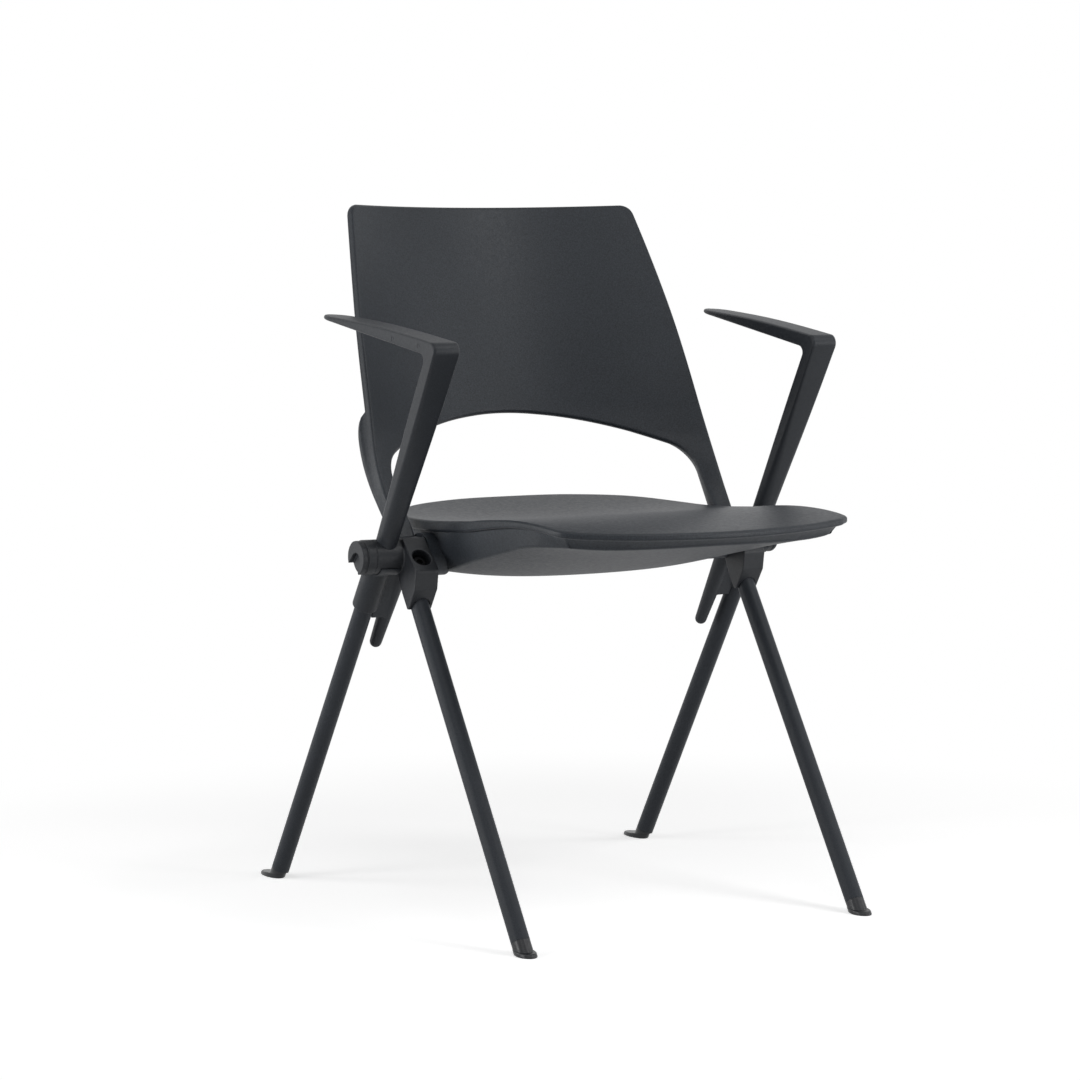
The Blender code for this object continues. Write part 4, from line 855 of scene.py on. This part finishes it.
def back_section(low, high):
    """A closed ring: from the inner to the outer rail, and back along the rear."""
    length = (high - low).length
    in_edge = [BACK_EDGE_R * share for share in EDGE_SHARES]
    between = length - 2 * in_edge[-1]
    middle = [in_edge[-1] + between * k / BACK_FILLS for k in range(1, BACK_FILLS)]
    insets = in_edge + middle + [length - d for d in reversed(in_edge)]
    full, gone = UPRIGHT_WIDTH * SHOULDER_FULL, UPRIGHT_WIDTH * SHOULDER_GONE
    front = []
    rear = []
    for inset in insets:
        x, z = low.lerp(high, inset / length)
        surface = Vector((x, back_front(x, z), z))
        normal = back_normal(x, z)
        from_side = back_half_width(z) - x
        below = min(max((SHOULDER_TOP - z + HUB_Z) / SHOULDER_LENGTH, 0), 1)
        thick = math.sqrt(below * (2 - below))
        thick *= 1 - blend(full, gone, from_side)
        depth = BACK_THICKNESS + (UPRIGHT_DEPTH - BACK_THICKNESS) * thick
        rim = min(inset, length - inset)
        edge_width = BACK_EDGE_R + (UPRIGHT_EDGE_WIDTH - BACK_EDGE_R) * thick
        edge_depth = BACK_EDGE_R + (UPRIGHT_EDGE_DEPTH - BACK_EDGE_R) * thick
        front.append(surface + normal * edge_drop(rim, BACK_EDGE_R))
        rear.append(surface + normal * (depth - edge_depth * edge_drop(rim / edge_width, 1)))
    return front + rear[::-1]


def make_back():
    inner, outer = back_rails()
    rings = [back_section(a, b) for a, b in zip(inner, outer)]
    for point in rings[0]:
        point.x = 0
    back = skin("back", rings, start="open")
    mirror = back.modifiers.new("Mirror", "MIRROR")
    mirror.merge_threshold = WELD
    settle(back)
    shape = bmesh.new()
    shape.from_mesh(back.data)
    everything = shape.verts[:] + shape.edges[:] + shape.faces[:]
    seat_plane = (0, 0, HUB_Z + HUB_TOP + CLEAR)
    bmesh.ops.bisect_plane(
        shape, geom=everything, plane_co=seat_plane, plane_no=(0, 0, 1), clear_inner=True
    )
    bmesh.ops.holes_fill(shape, edges=[edge for edge in shape.edges if edge.is_boundary])
    bmesh.ops.recalc_face_normals(shape, faces=shape.faces)
    shape.to_mesh(back.data)
    shape.free()
    smooth(back.data, SHARP)
    return back


# Seat


def seat_top(x, y):
    """Height of the seat's top: a low crest in front of a soft ridge, a scoop behind it."""
    behind = y - HUB_Y - RIDGE_Y
    across = (x / SEAT_HALF_WIDTH) ** 2
    ahead = min(max(-behind / (SEAT_FRONT + RIDGE_Y), 0), 1)
    crest = FRONT_CREST * (FRONT_CREST_MIDDLE + (1 - FRONT_CREST_MIDDLE) * across)
    front = crest * math.sin(math.pi * ahead) - FRONT_FALL * ahead**FRONT_FALL_POWER
    run = RIDGE_ROUND * math.log1p(math.exp(min(behind / RIDGE_ROUND, EXP_LIMIT)))
    fall = SCOOP * (1 - SCOOP_SIDE * across) * math.sin(math.pi / 2 * min(run / SCOOP_LENGTH, 1))
    climb = max(run - SCOOP_LENGTH, 0) / REAR_LIFT_LENGTH
    lift = REAR_LIFT * (1 - REAR_LIFT_SIDE * across) * (1 - math.cos(math.pi / 2 * climb))
    return HUB_Z + SEAT_TOP + front - fall + lift


def seat_bottom(x, y):
    """Height of the shell's lower surface: the shell thins towards the front and the rear."""
    thin = blend(SEAT_THIN_FROM, SEAT_THIN_TO, abs(y - HUB_Y))
    return seat_top(x, y) - SEAT_THICKNESS + (SEAT_THICKNESS - SEAT_END_THICKNESS) * thin


def seat_outline(count):
    """Plan of the seat: a smooth closed curve that starts in the middle of the front."""
    front = HUB_Y - SEAT_FRONT
    rear = HUB_Y + SEAT_REAR
    corner = front + SEAT_FRONT_BOW
    wide = SEAT_HALF_WIDTH
    slim = wide - SEAT_FRONT_TAPER
    half = [
        (0, front),
        *((SEAT_CORNER_X * x, front + SEAT_FRONT_BOW * y) for x, y in FRONT_CURVE),
        (SEAT_CORNER_X, corner),
        (slim - SEAT_FRONT_TAPER / 2, corner + SEAT_CORNER_RUN),
        (slim, corner + SEAT_SIDE_RUN),
        (wide, HUB_Y),
        *((wide * x, HUB_Y + SEAT_REAR * y) for x, y in REAR_CURVE),
        (0, rear),
    ]
    points = [Vector(p) for p in half] + [Vector((-x, y)) for x, y in half[-2:0:-1]]
    dense = []
    total = len(points)
    for k in range(total):
        p0, p1, p2, p3 = (points[(k + j) % total] for j in (-1, 0, 1, 2))
        for step in range(CURVE_STEPS):
            t = step / CURVE_STEPS
            curve = p1 * 2 + (p2 - p0) * t
            curve += (p0 * 2 - p1 * 5 + p2 * 4 - p3) * t * t + (p1 * 3 - p0 - p2 * 3 + p3) * t**3
            dense.append(curve / 2)
    return spaced(dense + [dense[0]], count)[:count]


def inward(outline, k):
    """Unit vector into the outline at one of its points."""
    run = outline[(k + 1) % len(outline)] - outline[k - 1]
    return Vector((-run.y, run.x)).normalized()


def inset_outline(outline, inset):
    return [point + inward(outline, k) * inset for k, point in enumerate(outline)]


def shrunk(outline, share):
    middle = Vector((0, HUB_Y - SEAT_FRONT * SEAT_POLE))
    return [middle.lerp(point, share) for point in outline]


def make_seat_shell():
    outline = seat_outline(SEAT_STEPS)
    top = inset_outline(outline, SEAT_ROLL)
    bottom = inset_outline(outline, SEAT_EDGE_R)

    def over(points, drop):
        return [(p.x, p.y, seat_top(p.x, p.y) - drop) for p in points]

    def under(points, lift):
        return [(p.x, p.y, seat_bottom(p.x, p.y) + lift) for p in points]

    def upper_rim(share):
        drop = SEAT_ROLL_DROP * edge_drop(share, 1)
        return over(inset_outline(outline, SEAT_ROLL * share), drop)

    def lower_rim(share):
        lift = SEAT_EDGE_R * edge_drop(share, 1)
        return under(inset_outline(outline, SEAT_EDGE_R * share), lift)

    upper = [over(shrunk(top, share), 0) for share in FILLS]
    lower = [under(shrunk(bottom, share), 0) for share in FILLS]
    rim_up = [upper_rim(share) for share in reversed(EDGE_SHARES)]
    rim_low = [lower_rim(share) for share in EDGE_SHARES]
    pole = shrunk(top[:1], 0)
    rings = [over(pole, 0), *upper, *rim_up, *rim_low, *lower[::-1], under(pole, 0)]
    return skin("shell", rings, start="pole", end="pole")


def pan_bottom(x, y):
    """Height of the pan's underside: it falls from the front to a round belly at the hubs."""
    lean = (BELLY_REAR_SLOPE - BELLY_FRONT_SLOPE) / 2
    fold = (BELLY_REAR_SLOPE + BELLY_FRONT_SLOPE) / 2
    run = y - HUB_Y
    least = BELLY_ROUND * math.sqrt(fold * fold - lean * lean)
    rise = lean * run + fold * math.sqrt(run * run + BELLY_ROUND * BELLY_ROUND) - least
    across = (x / SEAT_HALF_WIDTH) ** 2
    ahead = min(max(-run / SEAT_FRONT, 0), 1)
    flank = BELLY_SIDE_RISE * across * across * math.sin(math.pi * ahead)
    curl = BELLY_CURL * across * across * (1 - blend(0, BELLY_CURL_LENGTH, abs(run)))
    cross = BELLY_CROSS_RISE * across * (1 - ahead**BELLY_CROSS_POWER)
    return HUB_Z - BELLY_DROP + rise + cross + curl + flank


def front_share(p):
    """0 on the sides and at the rear of the pan, 1 along its front."""
    return blend(PAN_LEAN_FROM, PAN_LEAN_TO, HUB_Y - p.y)


def make_seat_pan():
    """A tray under the shell, whose belly holds the bushes in two bosses."""
    plan = seat_outline(SEAT_STEPS)
    insets = [PAN_INSET + PAN_FRONT_INSET * front_share(p) for p in plan]
    outline = [p + inward(plan, k) * insets[k] for k, p in enumerate(plan)]
    inner = inset_outline(outline, PAN_WALL)

    def rim_height(p):
        return seat_bottom(p.x, p.y) - CLEAR

    def rim(points):
        return [(p.x, p.y, rim_height(p)) for p in points]

    def floor_height(p, lift):
        return min(pan_bottom(p.x, p.y) + lift, rim_height(p) - PAN_RIM)

    def knee(points, lift):
        """Where the upper part of the wall ends; along the front it leans as the rest does."""
        made = []
        for k, point in enumerate(points):
            p = point + inward(points, k) * PAN_FRONT_LEAN * front_share(point) / 2
            most = (rim_height(p) - floor_height(p, lift)) / 2
            made.append((p.x, p.y, rim_height(p) - min(PAN_UPRIGHT, most)))
        return made

    def foot(inset):
        """Plan of the wall's foot, further in along the front and where the wall is high."""
        made = []
        for k, p in enumerate(outline):
            lean = PAN_LEAN * max(rim_height(p) - floor_height(p, 0) - PAN_UPRIGHT, 0)
            lean += PAN_FRONT_LEAN * front_share(p)
            made.append(p + inward(outline, k) * (lean + inset))
        return made

    def floor(points, lift):
        return [(p.x, p.y, floor_height(p, lift)) for p in points]

    def edge(share):
        """The rounded edge between the wall's foot and the floor."""
        turn = math.pi / 2 * share
        return floor(foot(PAN_EDGE * (1 - math.sin(turn))), PAN_EDGE_RISE * (1 - math.cos(turn)))

    pole = shrunk(inner[:1], 0)
    under = [floor(shrunk(foot(PAN_EDGE), share), 0) for share in FILLS]
    over = [floor(shrunk(foot(PAN_WALL), share), PAN_WALL) for share in FILLS[1::2]]
    inner_lift = PAN_WALL + PAN_EDGE_RISE
    rings = [floor(pole, 0), *under, *(edge(k / EDGE_STEPS) for k in range(EDGE_STEPS + 1))]
    rings += [knee(outline, PAN_EDGE_RISE), rim(outline), rim(inner), knee(inner, inner_lift)]
    rings += [floor(foot(PAN_WALL), inner_lift), *over[::-1], floor(pole, PAN_WALL)]
    pan = skin("pan", rings, start="pole", end="pole")
    bosses = []
    for side in (1, -1):
        ends = sorted((side * (PAN_SIDE - BUSH_DEPTH), side * (BLOCK_IN - PAN_BOSS_GAP)))
        bosses.append(along_x(rod("boss", PAN_BOSS_R, *ends)))
    join(pan, *bosses)
    wide = BUSH_FLANGE_R + CLEAR
    slim = BUSH_R + CLEAR
    half = [(0, BLOCK_IN), (wide, BLOCK_IN), (wide, BUSH_SEAT), (slim, BUSH_SEAT)]
    stepped = half + [(radius, -height) for radius, height in reversed(half)]
    return cut(pan, along_x(turned("hole", stepped)))


# Finishes


def add_node(tree, kind, **settings):
    """Adds a node; settings name its properties, or its inputs where it has no such property."""
    node = tree.nodes.new(kind)
    for name, value in settings.items():
        if hasattr(node, name):
            setattr(node, name, value)
        else:
            node.inputs[name.replace("_", " ")].default_value = value
    return node


def product(tree, a, b):
    node = add_node(tree, "ShaderNodeMath", operation="MULTIPLY")
    tree.links.new(a, node.inputs[0])
    tree.links.new(b, node.inputs[1])
    return node.outputs[0]


NOISE_MIDDLE = (0.3, 0.7)  # the range that most of a noise lies in
EDGE_HIGHLIGHT_RANGE = (0.52, 0.62)  # pointiness between which a convex edge is painted paler, a painted highlight
EDGE_HIGHLIGHT = 0.35  # how much paler the painted edge highlight makes the colour
CLOUD_SCALE = 7.0
CLOUD_DEPTH = 0.06
PATCH = 3  # grains across a patch of even gloss
GLOSS_SPREAD = 0.05
NOISE_ROUGHNESS = 0.6
GRAIN_STRENGTH = 0.6


def finish(name, colour, roughness, grain, specular=0.12, mottle=0.22):
    """A procedural finish: grain is its (size, height) in metres, mottle changes the colour, and
    convex edges get a painted highlight.
    """
    made = bpy.data.materials.new(name)
    made.use_nodes = True
    tree = made.node_tree
    link = tree.links.new
    shader = tree.nodes["Principled BSDF"]
    shader.inputs["Specular IOR Level"].default_value = specular
    size, height = grain
    place_at = add_node(tree, "ShaderNodeTexCoord").outputs["Object"]

    def noise(scale, detail=3.0):
        node = add_node(tree, "ShaderNodeTexNoise", Scale=scale, Detail=detail)
        node.inputs["Roughness"].default_value = NOISE_ROUGHNESS
        link(place_at, node.inputs["Vector"])
        return node.outputs["Fac"]

    def spread(value, low, high, given=NOISE_MIDDLE):
        node = add_node(tree, "ShaderNodeMapRange", To_Min=low, To_Max=high)
        node.inputs["From Min"].default_value, node.inputs["From Max"].default_value = given
        link(value, node.inputs["Value"])
        return node.outputs["Result"]

    speckle = noise(1 / size)
    cloud = spread(noise(CLOUD_SCALE, 2.0), 1 - CLOUD_DEPTH, 1 + CLOUD_DEPTH)
    edge = add_node(tree, "ShaderNodeNewGeometry").outputs["Pointiness"]
    shade = product(tree, spread(speckle, 1 - mottle, 1 + mottle), cloud)
    # Painted highlight: the colour turns paler on convex edges, by pointiness.
    shade = product(tree, shade, spread(edge, 1, 1 + EDGE_HIGHLIGHT, EDGE_HIGHLIGHT_RANGE))
    tint = add_node(tree, "ShaderNodeVectorMath", operation="SCALE")
    tint.inputs[0].default_value = colour
    link(shade, tint.inputs["Scale"])
    link(tint.outputs[0], shader.inputs["Base Color"])
    patches = noise(1 / (PATCH * size))
    gloss = spread(patches, roughness - GLOSS_SPREAD, roughness + GLOSS_SPREAD)
    link(gloss, shader.inputs["Roughness"])
    bump = add_node(tree, "ShaderNodeBump", Distance=height, Strength=GRAIN_STRENGTH)
    link(noise(1 / size, 4.0), bump.inputs["Height"])
    link(bump.outputs["Normal"], shader.inputs["Normal"])
    return made


MOULDED = (0.0016, 0.00012)
SHELL = finish("grained_polypropylene", (0.021, 0.025, 0.031), 0.45, MOULDED, 0.24, 0.45)
PAN = finish("spark_grained_polypropylene", (0.022, 0.026, 0.032), 0.54, MOULDED, 0.25, 0.40)
PAINT = finish("powder_coat_on_tube", (0.026, 0.029, 0.034), 0.45, (0.0010, 0.00006))
CASTING = finish("powder_coat_on_casting", (0.020, 0.022, 0.026), 0.48, (0.0011, 0.00008), 0.27)
NYLON = finish("spark_grained_nylon", (0.020, 0.023, 0.028), 0.48, (0.0012, 0.00008), 0.24, 0.28)
GLIDE = finish("glide_plastic", (0.018, 0.019, 0.022), 0.32, (0.0012, 0.00003), 0.30)
STEEL = finish("black_oxide_on_steel", (0.010, 0.010, 0.011), 0.60, (0.0004, 0.00003), 0.05)
FINISHES = dict(shell=SHELL, paint=PAINT, casting=CASTING, nylon=NYLON, glide=GLIDE, steel=STEEL)


# Pieces

RECORD = frame["record"]
SLOT_OF = {part["node"]: part["material_slot"] for part in RECORD["subparts"]}
BODIES = RECORD["behaviour"]["bodies"]
BODY_OF = {node: body for body, held in BODIES.items() for node in held}


def stand_in(piece, node, dress=None):
    """Shows a fine piece in place of a node, in its slot's finish or in one of its own."""
    piece.name = node + "_fine"
    piece.data.name = piece.name
    piece.data.materials.clear()
    piece.data.materials.append(dress or FINISHES[SLOT_OF[node]])
    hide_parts(node)
    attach(piece, BODY_OF[node])


def stand_in_pair(left, node):
    right = mirrored(left, node)
    stand_in(left, node + "_left")
    stand_in(right, node + "_right")


for solid_name, solid_piece in frame["nodes"].items():
    solid_piece.data.materials.clear()
    solid_piece.data.materials.append(FINISHES[SLOT_OF[solid_name]])

FRONT_SEAM = Vector((FRONT_X, front_leg_y(FRONT_SEAM_Z), FRONT_SEAM_Z))
REAR_SEAM = REAR_HEAD - REAR_UP * REAR_RUN

stand_in(make_back(), "backrest")
stand_in(make_seat_shell(), "seat_shell")
stand_in(make_seat_pan(), "seat_pan", PAN)
stand_in(make_linking_hook(), "linking_hook", CASTING)
stand_in(make_linking_cap(), "linking_cap")
stand_in_pair(make_hub(), "hub_casting")
stand_in_pair(make_sleeve(), "rear_leg_sleeve")
stand_in_pair(make_arm(), "armrest")
stand_in_pair(make_leg(FRONT_LOW, -FRONT_END_GAP, FRONT_HEAD, FRONT_TURN), "front_leg")
stand_in_pair(make_leg(-REAR_RUN, -REAR_END_GAP, REAR_HEAD, REAR_TURN), "rear_leg")
stand_in_pair(make_foot(FRONT_X, FRONT_SEAM, FRONT_UP, -1, FRONT_FOOT), "front_foot")
stand_in_pair(make_foot(REAR_X, REAR_SEAM, REAR_UP, 1, REAR_FOOT), "rear_foot")


# Stage: white floor and background, studio light and the photograph's camera


def white_where_seen(tree):
    """1 for camera, glossy and transmission rays, which all see the white background."""
    path = add_node(tree, "ShaderNodeLightPath")
    total = path.outputs["Is Camera Ray"]
    for other in ("Is Glossy Ray", "Is Transmission Ray"):
        node = add_node(tree, "ShaderNodeMath", operation="MAXIMUM")
        tree.links.new(total, node.inputs[0])
        tree.links.new(path.outputs[other], node.inputs[1])
        total = node.outputs[0]
    return total


AMBIENT = 0.05  # the world's light on the object
FLOOR_SIZE = 14.0
FLOOR_COLOUR = (0.80, 0.80, 0.80, 1)
FLOOR_GLOW = 0.64  # added where the floor is seen
FADE_FROM = 0.55  # distances from the middle over which it turns into the background
FADE_TO = 1.15


def make_world():
    world = bpy.data.worlds.new("studio")
    bpy.context.scene.world = world
    world.use_nodes = True
    tree = world.node_tree
    back = tree.nodes["Background"]
    back.inputs["Color"].default_value = (1, 1, 1, 1)
    level = add_node(tree, "ShaderNodeMapRange", To_Min=AMBIENT, To_Max=1.0)
    tree.links.new(white_where_seen(tree), level.inputs["Value"])
    tree.links.new(level.outputs["Result"], back.inputs["Strength"])


def make_floor():
    shape = bmesh.new()
    bmesh.ops.create_grid(shape, x_segments=1, y_segments=1, size=FLOOR_SIZE / 2)
    mesh = bpy.data.meshes.new("floor")
    shape.to_mesh(mesh)
    shape.free()
    floor = add("floor", mesh)
    paper = bpy.data.materials.new("white_floor")
    paper.use_nodes = True
    tree = paper.node_tree
    link = tree.links.new
    shader = tree.nodes["Principled BSDF"]
    shader.inputs["Base Color"].default_value = FLOOR_COLOUR
    shader.inputs["Roughness"].default_value = 1.0
    shader.inputs["Specular IOR Level"].default_value = 0.0
    shader.inputs["Emission Color"].default_value = (1, 1, 1, 1)
    seen = white_where_seen(tree)
    glow = add_node(tree, "ShaderNodeMath", operation="MULTIPLY")
    glow.inputs[1].default_value = FLOOR_GLOW
    link(seen, glow.inputs[0])
    link(glow.outputs[0], shader.inputs["Emission Strength"])
    distance = add_node(tree, "ShaderNodeVectorMath", operation="LENGTH")
    link(add_node(tree, "ShaderNodeTexCoord").outputs["Object"], distance.inputs[0])
    fade = add_node(tree, "ShaderNodeMapRange", From_Min=FADE_FROM, From_Max=FADE_TO)
    fade.interpolation_type = "SMOOTHSTEP"
    link(distance.outputs["Value"], fade.inputs["Value"])
    mix = add_node(tree, "ShaderNodeMixShader")
    link(product(tree, fade.outputs["Result"], seen), mix.inputs["Fac"])
    link(shader.outputs["BSDF"], mix.inputs[1])
    link(add_node(tree, "ShaderNodeEmission").outputs["Emission"], mix.inputs[2])
    link(mix.outputs["Shader"], tree.nodes["Material Output"].inputs["Surface"])
    mesh.materials.append(paper)


CAMERA_AT = Vector((-2.0566, -3.4089, 0.8064))
CAMERA_TURN = math.radians(30.425)
CAMERA_FALL = math.radians(5.403)
CAMERA_LENS = 111.57  # in millimetres, as is the sensor
CAMERA_SENSOR = 36.0
LIGHT_AIM = Vector((0, 0, 0.45))
LAMPS = (  # name, bearing in degrees, height, distance, width, tall, power in watts
    ("left_key", -58, 0.9, 2.6, 0.6, 1.2, 19),
    ("left_side", -90, 0.6, 2.2, 0.6, 1.0, 12),
    ("front_high", -8, 2.6, 1.8, 1.2, 1.2, 12),
    ("right_low", 60, 0.55, 2.2, 0.6, 0.8, 13),
    ("right_strip", 92, 1.0, 2.6, 0.6, 1.6, 10),
    ("right_high", 64, 2.4, 1.8, 0.8, 0.8, 15),
)


def softbox(name, bearing, height, distance, width, tall, power):
    """A soft light; its bearing is counted from the camera's side, to the right."""
    turn = math.radians(bearing) - CAMERA_TURN
    spot = Vector((math.sin(turn) * distance, -math.cos(turn) * distance, height))
    lamp = bpy.data.lights.new(name, "AREA")
    lamp.shape = "RECTANGLE"
    lamp.size = width
    lamp.size_y = tall
    lamp.energy = power
    holder = add(name, lamp)
    holder.location = spot
    holder.rotation_euler = (LIGHT_AIM - spot).to_track_quat("-Z", "Y").to_euler()


def make_camera():
    lens = bpy.data.cameras.new("camera")
    lens.lens = CAMERA_LENS
    lens.sensor_width = CAMERA_SENSOR
    camera = add("camera", lens)
    camera.location = CAMERA_AT
    camera.rotation_euler = (math.pi / 2 - CAMERA_FALL, 0, -CAMERA_TURN)
    bpy.context.scene.camera = camera


make_world()
make_floor()
for lamp_sizes in LAMPS:
    softbox(*lamp_sizes)
make_camera()
bpy.context.scene.view_settings.view_transform = "Standard"
